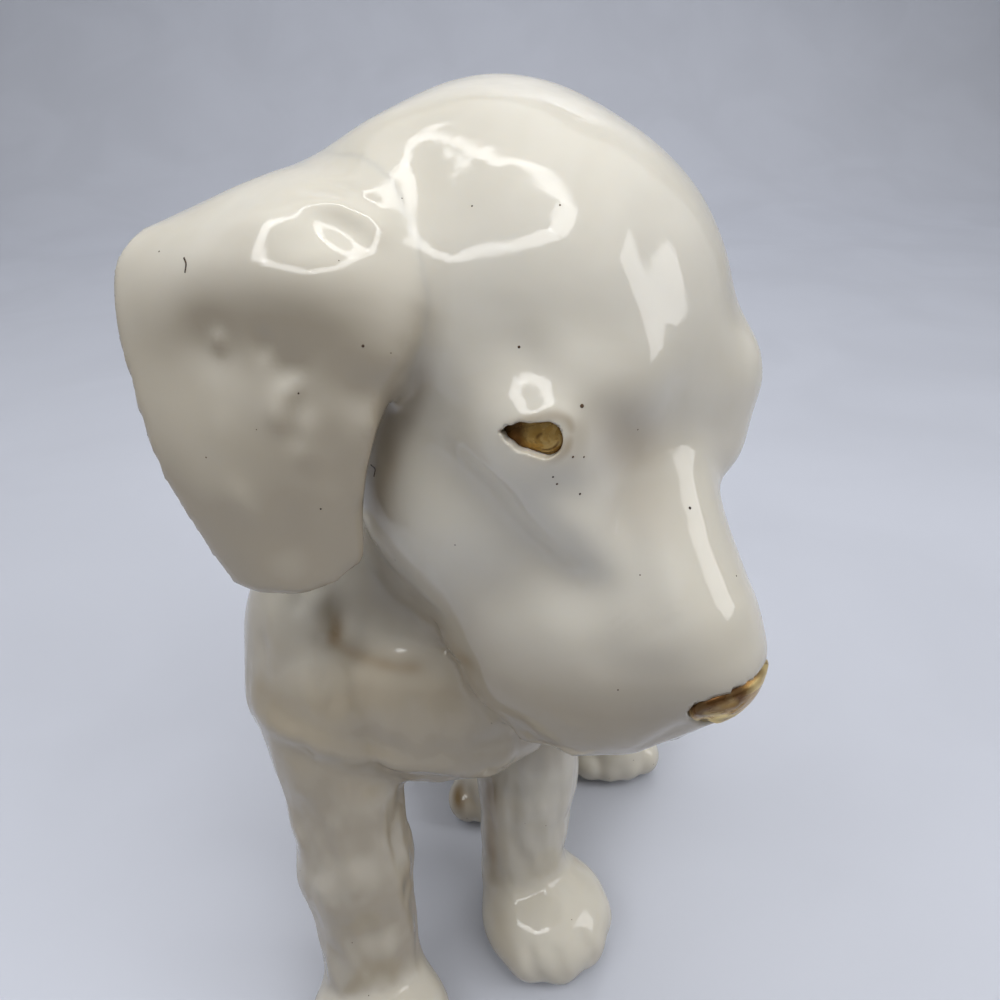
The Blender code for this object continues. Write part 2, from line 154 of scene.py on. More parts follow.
def rotation(x: float = 0.0, z: float = 0.0) -> Array:
    """Gives the rotation by angles in degrees about X, then Z.

    Args:
        x: The angle about X.
        z: The angle about Z.

    Returns:
        A 3 by 3 matrix.
    """
    a, c = np.radians((x, z))
    about_x = np.array([[1, 0, 0], [0, cos(a), -sin(a)], [0, sin(a), cos(a)]])
    about_z = np.array([[cos(c), -sin(c), 0], [sin(c), cos(c), 0], [0, 0, 1]])
    return about_z @ about_x


def boxed(places: Array, low: Array, high: Array) -> Array:
    """Tells which places are inside a box."""
    return np.all((places > low) & (places < high), axis=1)


def smooth_union(a: Array, b: Array, blend: float) -> Array:
    """Joins two distances with a fillet.

    Args:
        a: The distances to one shape.
        b: The distances to the other.
        blend: How wide the fillet is.

    Returns:
        The distances to both shapes together.
    """
    if blend <= 0:
        return np.minimum(a, b)
    share = np.maximum(blend - np.abs(a - b), 0) / blend
    return np.minimum(a, b) - share**3 * (blend / 6)


def in_axes(points: Sequence[Array], centre: Array, turn: Array) -> list[Array]:
    """How far places are from a shape's middle along its own axes, the columns of the turn."""
    return [sum(turn[k, j] * (points[k] - centre[k]) for k in range(3)) for j in range(3)]


@dataclass
class Lobe:
    """An ellipsoid of clay.

    Attributes:
        centre: Its middle.
        half: Its half sizes along its own axes.
        blend: How wide the fillet is where it joins the rest.
        turn: Its axes as the columns of a matrix.
    """

    centre: Array
    half: Triple
    blend: float = 8.0
    turn: Array = field(default_factory=lambda: np.eye(3))

    def box(self) -> tuple[Array, Array]:
        """The corners of a box that holds the lobe."""
        reach = np.full(3, max(self.half))
        return np.asarray(self.centre) - reach, np.asarray(self.centre) + reach

    def distance(self, points: Sequence[Array]) -> Array:
        """Measures from places to the lobe.

        Args:
            points: The places' x, y and z, which may be an open grid.

        Returns:
            Distances that are negative inside.
        """
        local = in_axes(points, self.centre, self.turn)
        near = np.sqrt(sum((local[j] / self.half[j]) ** 2 for j in range(3)))
        slope = np.sqrt(sum((local[j] / self.half[j] ** 2) ** 2 for j in range(3)))
        return near * (near - 1) / np.maximum(slope, 1e-9)


@dataclass
class Limb:
    """A round stick of clay between two points.

    Attributes:
        start: The middle of its first end.
        end: The middle of its last end.
        start_radius: Its radius at the first end.
        end_radius: Its radius at the last end.
        blend: How wide the fillet is where it joins the rest.
    """

    start: Array
    end: Array
    start_radius: float
    end_radius: float
    blend: float = 8.0

    def box(self) -> tuple[Array, Array]:
        """The corners of a box that holds the limb."""
        reach = max(self.start_radius, self.end_radius)
        ends = np.array([self.start, self.end])
        return ends.min(0) - reach, ends.max(0) + reach

    def distance(self, points: Sequence[Array]) -> Array:
        """Measures from places to the limb.

        Args:
            points: The places' x, y and z, which may be an open grid.

        Returns:
            Distances that are negative inside.
        """
        core = np.asarray(self.end, float) - np.asarray(self.start, float)
        length = float(np.linalg.norm(core))
        offset = [points[k] - self.start[k] for k in range(3)]
        share = sum(offset[k] * core[k] for k in range(3)) / length**2
        across = np.sqrt(np.maximum(sum((offset[k] - share * core[k]) ** 2 for k in range(3)), 0))
        taper = (self.start_radius - self.end_radius) / length
        share = np.clip(share + taper / np.sqrt(1 - taper**2) * across / length, 0, 1)
        radius = self.start_radius + (self.end_radius - self.start_radius) * share
        return np.sqrt(sum((offset[k] - share * core[k]) ** 2 for k in range(3))) - radius


@dataclass
class Almond:
    """A pit with straight walls and the outline of an eye: round at one end, pointed at the other.

    Attributes:
        centre: The middle of the eye.
        turn: Its long, short and outward axes as the columns of a matrix.
        stations: Places from its round end to its tip, along the long and short axes.
        radii: The radii at the stations.
        floor: How deep the pit is below the middle.
        blend: How wide the fillets at its rim and its floor are.
    """

    centre: Array
    turn: Array
    stations: tuple[tuple[float, float], ...] = (
        (0.8, 0.1), (-1.5, -0.15), (-3.0, -0.35), (-4.2, -0.5)
    )
    radii: tuple[float, ...] = (2.25, 1.75, 1.05, 0.2)
    floor: float = 2.2
    blend: float = 0.3
    web: float = 0.4
    reach: float = 7.0

    def box(self) -> tuple[Array, Array]:
        """The corners of a box that holds the pit."""
        return np.asarray(self.centre) - self.reach, np.asarray(self.centre) + self.reach

    def distance(self, points: Sequence[Array]) -> Array:
        """Measures from places to the pit.

        Args:
            points: The places' x, y and z, which may be an open grid.

        Returns:
            Distances that are negative inside.
        """
        local = in_axes(points, self.centre, self.turn)
        flat = [local[0], local[1], 0.0 * local[2]]
        ends = [np.array((*station, 0.0)) for station in self.stations]
        outline = np.full(np.broadcast_shapes(*(axis.shape for axis in local)), FAR)
        for i in range(len(ends) - 1):
            limb = Limb(ends[i], ends[i + 1], self.radii[i], self.radii[i + 1])
            outline = smooth_union(outline, limb.distance(flat), self.web)
        return -smooth_union(-outline, local[2] + self.floor, self.blend)


Shape = Lobe | Limb | Almond


@dataclass
class Field:
    """Distances to a surface on a regular grid, in millimetres.

    Attributes:
        low: The grid's lowest corner.
        high: The grid's highest corner.
        pitch: The spacing of the grid.
        values: The distances, negative inside the surface.
        margin: How far round a shape its fillet is worked out.
        crust: How far from the surface its relief reaches.
    """

    low: Array
    high: Array
    pitch: float
    values: Array = None
    margin: float = 4.0
    crust: float = 3.5

    def __post_init__(self) -> None:
        """Lays out an empty grid where no values are given."""
        self.low = np.asarray(self.low, float)
        if self.values is None:
            count = np.ceil((np.asarray(self.high) - self.low) / self.pitch).astype(int) + 1
            self.values = np.full(count, FAR, np.float32)

    def top(self) -> Array:
        """The highest place of the grid."""
        return self.low + (np.array(self.values.shape) - 1) * self.pitch

    def inside(self, places: Array) -> Array:
        """Tells which places are inside the grid's box."""
        return boxed(places, self.low, self.top())

    def grid(self) -> list[Array]:
        """The open grid of all its places."""
        return self.window(self.low, self.top())[1]

    def window(self, low: Array, high: Array) -> tuple[tuple[slice, ...], list[Array]]:
        """Finds the part of the grid inside a box.

        Args:
            low: The box's lowest corner.
            high: The box's highest corner.

        Returns:
            The slices of the grid, and the open grid of its places.
        """
        count = np.array(self.values.shape)
        first = np.clip(np.floor((low - self.low) / self.pitch).astype(int), 0, count - 1)
        last = np.clip(np.ceil((high - self.low) / self.pitch).astype(int) + 1, 1, count)
        lines = [self.low[k] + self.pitch * np.arange(first[k], last[k]) for k in range(3)]
        slices = tuple(slice(int(a), int(b)) for a, b in zip(first, last))
        return slices, np.meshgrid(*lines, indexing="ij", sparse=True)

    def join(self, shapes: Iterable[Shape], sign: int = 1) -> None:
        """Adds shapes, each with its own fillet, or takes them away where the sign is -1."""
        for shape in shapes:
            low, high = shape.box()
            margin = shape.blend + self.margin
            part, places = self.window(low - margin, high + margin)
            distance = shape.distance(places).astype(np.float32)
            self.values[part] = sign * smooth_union(sign * self.values[part], distance, shape.blend)

    def carve(self, shapes: Iterable[Shape]) -> None:
        """Takes shapes away, each with its own fillet."""
        self.join(shapes, -1)

    def level(self, height: float) -> None:
        """Cuts everything below a height away."""
        heights = self.low[2] + self.pitch * np.arange(self.values.shape[2])
        below = (height - heights).astype(np.float32)[None, None, :]
        self.values = np.maximum(self.values, below)

    def emboss(self, low: Array, high: Array, pattern: Callable[[Array], Array]) -> None:
        """Raises the surface inside a box.

        Args:
            low: The box's lowest corner.
            high: The box's highest corner.
            pattern: Gives the height in millimetres at an array of places.
        """
        part, places = self.window(np.asarray(low, float), np.asarray(high, float))
        block = self.values[part]
        near = np.abs(block) < self.crust
        full = np.broadcast_arrays(*places)
        spots = np.stack([axis[near] for axis in full], axis=1)
        block[near] -= pattern(spots).astype(np.float32)

    def score(self, path: Array, width: float, height: float) -> None:
        """Raises the surface along a path, or presses it where the height is negative."""
        low, high = path.min(0) - 3 * width, path.max(0) + 3 * width
        self.emboss(low, high, lambda spots: height * trace(spots, path, width))

    def sample(self, places: Array) -> Array:
        """Reads the distances at places between the grid's own.

        Args:
            places: Places, one a row.

        Returns:
            The distance at each place.
        """
        count = np.array(self.values.shape)
        scaled = np.clip((places - self.low) / self.pitch, 0, count - 1.001)
        cell = scaled.astype(int)
        near = eighths(cell, scaled - cell)
        return sum(weight * self.values[tuple(corner.T)] for corner, weight in near)

    def refined(self, low: Array, high: Array, pitch: float) -> "Field":
        """Copies the part of the field in a box to a finer grid.

        Args:
            low: The box's lowest corner.
            high: The box's highest corner.
            pitch: The spacing of the finer grid.

        Returns:
            The finer field, evened out over the old spacing.
        """
        fine = Field(low, high, pitch)
        values = self.sample(listed(fine.grid())).reshape(fine.values.shape)
        reach = max(1, round(self.pitch / pitch / 2))
        for axis, size in enumerate(values.shape):
            edges = [(reach, reach) if k == axis else (0, 0) for k in range(3)]
            for _ in range(2):
                padded = np.pad(values, edges, "edge")
                shifted = [np.take(padded, range(k, k + size), axis) for k in range(2 * reach + 1)]
                values = sum(shifted) / len(shifted)
        fine.values = values.astype(np.float32)
        return fine

    def slope(self, places: Array, step: float = 0.0) -> Array:
        """Finds the way out of the surface at places.

        Args:
            places: Places, one a row.
            step: How far to each side the distances are compared.

        Returns:
            The direction in which the distance grows fastest, of length 1.
        """
        steps = np.eye(3) * (step or self.pitch)
        rises = [self.sample(places + way) - self.sample(places - way) for way in steps]
        result = np.stack(rises, axis=1)
        return result / np.maximum(np.linalg.norm(result, axis=1, keepdims=True), 1e-9)

    def hollow(self, places: Array, normals: Array, height: float) -> Array:
        """From 0 on open faces to 1 in a hollow, judged at this height above each place."""
        return ramp(self.sample(places + normals * height), height, -height)

    def skin(self) -> tuple[Array, Array]:
        """Meshes the surface.

        Returns:
            The corners, and the quads that join them, facing outwards.
        """
        grid = openvdb.FloatGrid(FAR)
        grid.copyFromArray(np.ascontiguousarray(self.values))
        corners, _, quads = grid.convertToPolygons(0.0, 0.0)
        corners = np.array(corners) * self.pitch + self.low
        for _ in range(3):
            corners = self.settled(corners, 0.3)
        return corners, np.array(quads)

    def settled(self, places: Array, most: float = np.inf) -> Array:
        """The places, moved onto the surface or as far towards it as they may go at most."""
        return places - self.slope(places) * np.clip(self.sample(places), -most, most)[:, None]


def trace(spots: Array, path: Array, width: float) -> Array:
    """Fades a mark out from its path and towards its ends.

    Args:
        spots: Places, one a row.
        path: The places that the mark passes.
        width: How far from the path it fades.

    Returns:
        From 1 on the path to 0 far from it, for each place.
    """
    spacing, margin = 0.6 * width, 2.6 * width
    gaps = np.linalg.norm(np.diff(path, axis=0), axis=1)
    beads = [path[:1]]
    for start, end, gap in zip(path[:-1], path[1:], gaps):
        count = max(1, round(gap / spacing))
        beads.append(start + (end - start) * (np.arange(1, count + 1) / count)[:, None])
    beads = np.concatenate(beads)

    def weight(places: Array) -> Array:
        """How much of the path is near each place."""
        total = np.zeros(len(places))
        for bead in beads:
            total += np.exp(-np.sum((places - bead) ** 2, axis=1) / width**2)
        return total

    result = np.zeros(len(spots))
    near = boxed(spots, beads.min(0) - margin, beads.max(0) + margin)
    result[near] = weight(spots[near]) / weight(beads).max()
    return np.minimum(result, 1.0)


# Large odd numbers that scatter the cells of value_noise.
CELL_PRIMES = (374761393, 668265263, 2147483647)
SEED_PRIME = 1274126177
STIR_PRIME = 1103515245


def value_noise(places: Array, size: float, seed: int) -> Array:
    """Makes smooth random bumps.

    Args:
        places: Places, one a row.
        size: How far apart the bumps are in millimetres.
        seed: Chooses the pattern.

    Returns:
        A value from -1 to 1 at each place.
    """
    scaled = places / size + 1000
    cell = np.floor(scaled).astype(np.int64)
    part = scaled - cell
    result = np.zeros(len(places))
    for corner, weight in eighths(cell, part * part * (3 - 2 * part)):
        mixed = sum(corner[:, k] * prime for k, prime in enumerate(CELL_PRIMES))
        mixed = (mixed + seed * SEED_PRIME) & 0xFFFFFFFF
        mixed = ((mixed ^ (mixed >> 13)) * STIR_PRIME) & 0xFFFFFFFF
        mixed = (mixed ^ (mixed >> 16)) & 0xFFFF
        result += weight * (mixed / 32767.5 - 1)
    return result


def along(points: Array, share: float) -> Array:
    """Finds a place on a smooth curve.

    Args:
        points: The points that the curve passes.
        share: How far along the curve the place is, from 0 to 1.

    Returns:
        The place.
    """
    last = len(points) - 1
    first = min(int(share * last), last - 1)
    part = share * last - first
    before = points[first - 1] if first else 2 * points[0] - points[1]
    a, b = points[first], points[first + 1]
    after = points[first + 2] if first + 2 <= last else 2 * b - a
    bend = (2 * before - 5 * a + 4 * b - after) * part**2
    bend += (3 * a - before - 3 * b + after) * part**3
    return 0.5 * (2 * a + (b - before) * part + bend)


def smooth_path(points: Sequence[Sequence[float]], count: int = 0) -> Array:
    """Draws a smooth curve through points.

    Args:
        points: The points that it passes.
        count: How many places it has, or 0 for four to each span.

    Returns:
        The places, one a row.
    """
    knots = np.asarray(points, float)
    count = count or 4 * (len(knots) - 1) + 1
    return np.array([along(knots, share) for share in np.linspace(0, 1, count)])


@dataclass(frozen=True)
class Viewpoint:
    """Where the photographer stood, in millimetres.

    Attributes:
        place: The middle of the lens.
        ahead: The direction of view.
        focal: The focal length in pixels of a frame 1000 pixels wide.
        nearest: Where its rays start, so far from the lens.
        caution: How much of the distance to the surface each step covers.
        tolerance: How near to the surface a ray has to come.
    """

    place: Triple = (-21.9, -180.8, 175.0)
    ahead: Triple = (0.1205, 0.8576, -0.5)
    focal: float = 750.0
    frame: float = 1000.0
    nearest: float = 60.0
    steps: int = 160
    caution: float = 0.7
    tolerance: float = 0.3

    def axes(self) -> Array:
        """The directions to the right, up and backwards as columns."""
        ahead = np.array(self.ahead) / np.linalg.norm(self.ahead)
        right = np.cross(ahead, (0, 0, 1))
        right /= np.linalg.norm(right)
        return np.stack([right, np.cross(right, ahead), -ahead], axis=1)

    def struck(self, surface: Field, pixels: Sequence[Sequence[float]]) -> Array:
        """Finds the places on a surface that the camera sees at pixels.

        Args:
            surface: The field whose surface is seen.
            pixels: Places in a frame of 1000 by 1000 pixels.

        Returns:
            The places, one a row, without those where the camera sees past the surface.
        """
        offset = (np.asarray(pixels, float) - self.frame / 2) / self.focal
        right, up, back = self.axes().T
        rays = offset[:, :1] * right - offset[:, 1:] * up - back
        rays /= np.linalg.norm(rays, axis=1, keepdims=True)
        travelled = np.full((len(rays), 1), self.nearest)
        for _ in range(self.steps):
            gap = surface.sample(self.place + rays * travelled)
            travelled[:, 0] += np.clip(gap, -1, 6) * self.caution
        spots = self.place + rays * travelled
        return spots[np.abs(surface.sample(spots)) < self.tolerance]

    def camera(self) -> Object:
        """Sets the camera up."""
        data = bpy.data.cameras.new("camera")
        data.sensor_width = 36.0
        data.lens = self.focal / self.frame * data.sensor_width
        data.clip_start = 0.005
        obj = put("camera", data)
        turn = Matrix(self.axes().tolist()).to_4x4()
        obj.matrix_world = Matrix.Translation(Vector(self.place) * MM) @ turn
        bpy.context.scene.camera = obj
        return obj


VIEW = Viewpoint()

FORM_MARKS = table(
    (RAISE, 4.5, 1.6, (376, 165), (396, 200), (410, 240), (414, 290), (410, 335), (402, 370)),
    (RAISE, 9.0, 2.2, (548, 588), (584, 612), (622, 640)),
    (RAISE, 8.0, 0.7, (515, 466), (548, 474), (585, 478)),
    (PRESS, 3.4, 0.8, (545, 490), (575, 500), (605, 512)),
    (RAISE, 3.4, 1.1, (562, 546), (588, 552), (614, 562)),
    (PRESS, 6.5, 1.4, (606, 436), (632, 456), (654, 484)),
    (RAISE, 5.5, 0.9, (596, 385), (630, 386), (655, 396)),
    (RAISE, 9.0, 1.8, (655, 590), (676, 618), (696, 640)),
    (RAISE, 7.0, 0.7, (742, 285), (748, 320)),
    (RAISE, 7.0, 0.8, (355, 150), (390, 125), (425, 108)),
    (RAISE, 6.5, 1.5, (150, 300), (200, 282), (250, 277), (300, 282), (345, 296)),
    (PRESS, 7.0, 1.2, (165, 352), (220, 345), (280, 348), (335, 362)),
)
EYE_MARKS = table(
    (RAISE, 1.0, 0.25, (503, 434), (518, 424), (535, 416), (553, 411), (568, 415), (576, 427)),
    (PRESS, 3.0, 0.45, (508, 398), (530, 386), (552, 384), (575, 394)),
    (PRESS, 3.5, 0.7, (590, 422), (612, 430), (636, 438)),
    (RAISE, 4.0, 0.5, (560, 372), (590, 366), (612, 380)),
    (PRESS, 4.5, 0.5, (428, 470), (452, 488), (476, 506)),
    (RAISE, 3.0, 0.35, (430, 428), (470, 452), (505, 476), (540, 500)),
    (PRESS, 2.2, 0.25, (520, 345), (530, 362), (548, 372)),
    # Painted shade round the right eye: beside it, along its lids and round its rim.
    (STAIN, 4.5, 0.4, (606, 418), (628, 436), (646, 458)),
    (STAIN, 4.5, 0.22, (634, 470), (646, 498), (656, 525)),
    (STAIN, 0.7, 0.45, (506, 430), (520, 423), (536, 418), (553, 415), (568, 420), (573, 432)),
    (STAIN, 0.8, 0.5, (503, 435), (516, 446), (533, 454), (552, 458), (566, 451), (571, 438)),
    (STAIN, 2.6, 0.22, (580, 424), (582, 440), (572, 456)),
)
BROW_MARKS = table(
    (RAISE, 4.0, 0.6, (640, 330), (655, 360), (650, 395)),
    (PRESS, 3.5, 0.45, (672, 400), (680, 440), (676, 480)),
    (PRESS, 5.0, 0.5, (470, 300), (500, 330), (520, 360)),
    (RAISE, 5.0, 0.5, (560, 240), (590, 280), (600, 320)),
    (PRESS, 4.0, 0.35, (640, 200), (655, 250), (668, 300)),
    (RAISE, 4.5, 0.4, (600, 180), (620, 240), (630, 300)),
    (RAISE, 4.0, 0.35, (440, 110), (480, 102), (520, 112)),
)
MUZZLE_MARKS = table(
    (RAISE, 4.0, 0.9, (572, 515), (584, 535), (590, 556)),
    (PRESS, 5.0, 0.5, (560, 600), (590, 585), (620, 570)),
    (RAISE, 3.0, 0.35, (640, 510), (662, 560), (684, 620)),
    (PRESS, 3.0, 0.3, (622, 500), (640, 560), (655, 620)),
    (RAISE, 1.0, 0.2, (560, 714), (568, 724), (580, 728)),
    (PRESS, 1.2, 0.5, (697, 719), (708, 719), (718, 716)),
    (PRESS, 2.0, 0.4, (640, 748), (668, 735), (690, 724)),
    (PRESS, 4.0, 0.5, (450, 560), (480, 590), (520, 610)),
    (PRESS, 3.0, 0.3, (600, 660), (640, 668), (680, 672)),
    # Painted shade in the slot under the nose.
    (STAIN, 0.8, 0.4, (697, 719), (708, 719), (718, 716)),
)
NOSE_MARKS = table(
    (STAIN, 1.0, 1.0, (698, 706), (714, 697), (740, 686), (763, 670)),
    (STAIN, 0.9, 0.8, (695, 707), (708, 702), (722, 692)),
    (STAIN, 0.16, 1.0, (703, 707), (712, 700), (722, 691)),
    (STAIN, 0.16, 1.0, (709, 693), (714, 700), (722, 705)),
    (STAIN, 0.3, 0.7, (724, 706), (738, 696), (752, 682)),
    (STAIN, 0.25, 0.6, (735, 688), (748, 678), (758, 668)),
)
EAR_MARKS = table(
    (PRESS, 0.8, 0.35, (322, 182), (345, 186), (361, 196), (372, 206)),
    (PRESS, 0.8, 0.3, (308, 188), (335, 194), (352, 203), (362, 213)),
    (RAISE, 1.6, 0.4, (300, 205), (335, 204), (362, 216), (380, 236)),
    (PRESS, 2.0, 0.45, (318, 222), (345, 226), (350, 240)),
    (PRESS, 3.0, 0.6, (208, 322), (198, 340), (210, 356), (230, 350)),
    (RAISE, 1.2, 0.6, (220, 341)),
    (PRESS, 1.2, 0.5, (265, 338), (263, 352)),
    (PRESS, 1.8, 0.5, (276, 371), (290, 369), (300, 374)),
    (RAISE, 1.4, 0.45, (300, 380), (284, 396), (277, 413), (280, 425)),
    (PRESS, 1.4, 0.45, (305, 394), (296, 412), (294, 432), (297, 445)),
    (RAISE, 1.5, 0.35, (309, 425), (306, 445), (312, 462)),
    (PRESS, 3.2, 0.8, (350, 392), (372, 398), (392, 392)),
    (RAISE, 1.2, 0.35, (398, 380), (404, 391), (396, 402)),
    (PRESS, 4.5, 0.6, (190, 380), (205, 430), (214, 470)),
    (RAISE, 2.5, 0.35, (222, 420), (224, 460), (228, 500)),
    (RAISE, 1.5, 0.25, (238, 490), (243, 505), (252, 518)),
    (PRESS, 2.5, 0.35, (288, 510), (290, 540), (284, 560)),
    (PRESS, 2.5, 0.3, (335, 430), (330, 460), (338, 490)),
    (RAISE, 3.0, 0.4, (225, 225), (260, 215), (285, 222)),
    (PRESS, 2.5, 0.3, (285, 245), (305, 238), (325, 246)),
    # Painted shade in the crease between the right ear and the cheek.
    (STAIN, 1.6, 0.28, (425, 372), (405, 402), (389, 420), (388, 446), (389, 468), (378, 493),
     (377, 520), (378, 540)),
)
CHEST_MARKS = table(
    (RAISE, 2.6, 0.45, (334, 618), (343, 634), (358, 647), (385, 652), (415, 656), (460, 653)),
    (PRESS, 2.4, 0.6, (330, 642), (350, 656), (372, 665), (410, 672), (440, 671), (470, 665)),
    (PRESS, 2.4, 1.4, (333, 612), (338, 628)),
    (PRESS, 1.4, 0.4, (298, 600), (301, 609)),
    (RAISE, 1.4, 0.7, (312, 596), (308, 612), (316, 632)),
    (RAISE, 1.4, 0.5, (322, 598), (322, 614), (328, 634)),
    (PRESS, 3.5, 0.7, (380, 606), (410, 616), (440, 618)),
    (RAISE, 1.8, 0.8, (262, 716), (286, 731), (316, 745), (355, 755), (401, 765), (447, 768),
     (492, 772), (507, 754), (529, 736)),
    (PRESS, 2.6, 0.5, (300, 722), (335, 738), (370, 745), (420, 752), (470, 752), (495, 738)),
    (PRESS, 2.2, 0.7, (258, 735), (285, 750), (315, 765), (352, 776), (390, 784)),
    (PRESS, 2.0, 0.35, (350, 690), (358, 715), (372, 735)),
    (PRESS, 2.0, 0.35, (400, 690), (408, 715), (416, 740)),
    (PRESS, 2.0, 0.35, (450, 690), (460, 720), (476, 745)),
    (RAISE, 2.0, 0.3, (478, 700), (488, 720), (500, 735)),
    (PRESS, 2.5, 0.5, (288, 660), (282, 690), (290, 715)),
    (PRESS, 1.6, 0.4, (262, 640), (266, 665), (262, 690)),
    (RAISE, 2.0, 0.4, (272, 610), (276, 640), (275, 670)),
    # Painted shade along the throat fold.
    (STAIN, 1.5, 0.8, (333, 612), (338, 628), (332, 640), (350, 652), (372, 660), (410, 667),
     (468, 660)),
)
LEG_MARKS = table(
    (PRESS, 2.4, 0.5, (335, 780), (322, 820), (330, 860), (345, 900)),
    (RAISE, 2.2, 0.5, (372, 800), (376, 840), (390, 880), (404, 920)),
    (PRESS, 2.0, 0.45, (392, 830), (398, 862), (408, 890)),
    (PRESS, 1.8, 0.4, (300, 800), (310, 840), (318, 880)),
    (PRESS, 1.8, 0.35, (360, 900), (368, 940), (380, 980)),
    (PRESS, 2.0, 0.4, (515, 790), (512, 830), (520, 860)),
    (RAISE, 2.0, 0.4, (540, 780), (543, 820), (550, 850)),
    # Painted shade on the inner side of the left foreleg and its paw, and on the right hind foot
    # between the forelegs.
    (STAIN, 2.4, 0.8, (491, 782), (490, 812), (490, 850), (492, 880)),
    (STAIN, 3.0, 0.25, (490, 890), (498, 920), (512, 950)),
    (STAIN, 2.6, 1.0, (459, 784), (458, 797), (460, 810)),
    (STAIN, 3.0, 0.5, (470, 784), (470, 800), (471, 814)),
    (PRESS, 1.5, 0.5, (528, 948), (532, 965), (538, 978)),
    (PRESS, 1.5, 0.5, (556, 950), (560, 968), (563, 980)),
    (PRESS, 1.5, 0.45, (583, 935), (590, 950), (594, 962)),
)


@dataclass
class Head:
    """Skull, muzzle and upper neck.

    Attributes:
        centre: The middle of the head.
        turned: How far the nose is turned to the puppy's left, in degrees.
        bowed: How far the nose points down, in degrees.
        ear_standoffs: How far the right and the left ear stand off the skull.
    """

    centre: Triple = (-0.5, -71.3, 146.5)
    turned: float = 29.6
    bowed: float = 47.8
    skull_width: float = 56.0
    skull_length: float = 57.0
    skull_height: float = 51.0
    muzzle_length: float = 64.0
    eye_spacing: float = 39.6
    eye_size: Triple = (7.8, 4.6, 4.4)
    ear_standoffs: tuple[float, float] = (22.0, 14.0)
    neck_foot: Triple = (-13.0, -62.0, 100.0)
    neck_head: Triple = (-5.0, -54.0, 132.0)
    neck_radii: tuple[float, float] = (24.0, 21.0)

    def axes(self) -> Array:
        """The directions towards its left side, nose and crown as columns."""
        turn, bow = radians(self.turned), radians(self.bowed)
        level = np.array((sin(turn), -cos(turn), 0))
        nose = level * cos(bow) - np.array((0, 0, sin(bow)))
        left = np.array((cos(turn), sin(turn), 0))
        return np.stack([left, nose, np.cross(nose, left)], axis=1)

    def place(self, left: float, nose: float, crown: float) -> Array:
        """The place this far from the middle along the head's axes."""
        return np.array(self.centre) + self.axes() @ np.array((left, nose, crown))

    def lobe(self, place: Triple, half: Triple, blend: float = 8.0, yaw: float = 0.0) -> Lobe:
        """A lobe in the head's axes."""
        return Lobe(self.place(*place), half, blend, self.axes() @ rotation(z=yaw))

    def limb(self, start: Triple, end: Triple, radii: tuple[float, float], blend: float) -> Limb:
        """A limb in the head's axes."""
        return Limb(self.place(*start), self.place(*end), radii[0], radii[1], blend)

    def neck(self) -> Limb:
        """The neck, which the head and the body share."""
        return Limb(np.array(self.neck_foot), np.array(self.neck_head), *self.neck_radii, 12.0)

    def eye_axes(self, side: int) -> Array:
        """An eye's long, short and outward axes as columns, in the head's axes."""
        long = np.array((side * -0.59, 0.475, 0.65))
        short = np.array((side * 0.09, 0.82, -0.56))
        outward = np.array((side * 0.80, 0.27, 0.53))
        return np.stack([long, short, outward], axis=1)

    def eye(self, side: int, margin: float = 0.0, lift: float = 0.0, blend: float = 1.0) -> Lobe:
        """Gives the lens of an eye.

        Args:
            side: 1 for the left eye and -1 for the right eye.
            margin: How much larger it is on every side.
            lift: How far it is lifted off the head.
            blend: How wide its fillet is.

        Returns:
            The lens as a lobe.
        """
        axes = self.axes() @ self.eye_axes(side)
        centre = self.place(side * self.eye_spacing / 2, 22.6, 11.4)
        centre = centre + axes[:, 2] * (lift - self.eye_size[2] / 3)
        half = tuple(size / 2 + margin for size in self.eye_size)
        return Lobe(centre, half, blend, axes)

    def shapes(self) -> list[Shape]:
        """The lobes of the head without its ears."""
        width, length, height = self.skull_width / 2, self.skull_length / 2, self.skull_height / 2
        tip = self.muzzle_length
        shapes: list[Shape] = [
            self.lobe((0, 2.5, -1), (width, length, height)),
            self.lobe((-0.8, -13.6, -3), (22.5, 18.9, 20), 9),
            self.limb((0, 22, -6), (0, tip - 12, -7), (16.5, 13), 9),
            self.lobe((0, tip - 12, -14), (17, 17.5, 15), 8),
            self.limb((0, 32, 0.5), (0, tip - 6, -2), (9, 8), 8),
            self.limb((0, 8, -18), (0, tip - 16, -20), (15, 12), 8),
        ]
        for side, standoff in ((-1, self.ear_standoffs[0]), (1, self.ear_standoffs[1])):
            root = side * (width - 16 + standoff / 4)
            shapes += [
                self.lobe((root, -15, -3), (standoff / 2, 12, 12.5), 8),
                self.lobe((side * 17, 18, -16), (14.5, 21, 16), 9),
                self.limb((side * 9, 20, 8.0), (side * 15, 18.8, 6.7), (7, 7), 9),
                self.lobe((side * 14.0, 25.8, 4), (6.5, 9, 6), 10),
                self.eye(side, 1.9, -2.4, 10),
                self.limb((side * 12.9, 22, -20), (side * 11, 46, -22), (15, 13), 8),
                self.lobe((side * 11, 48, -19), (12.5, 19, 16), 7, side * 6),
            ]
        return shapes


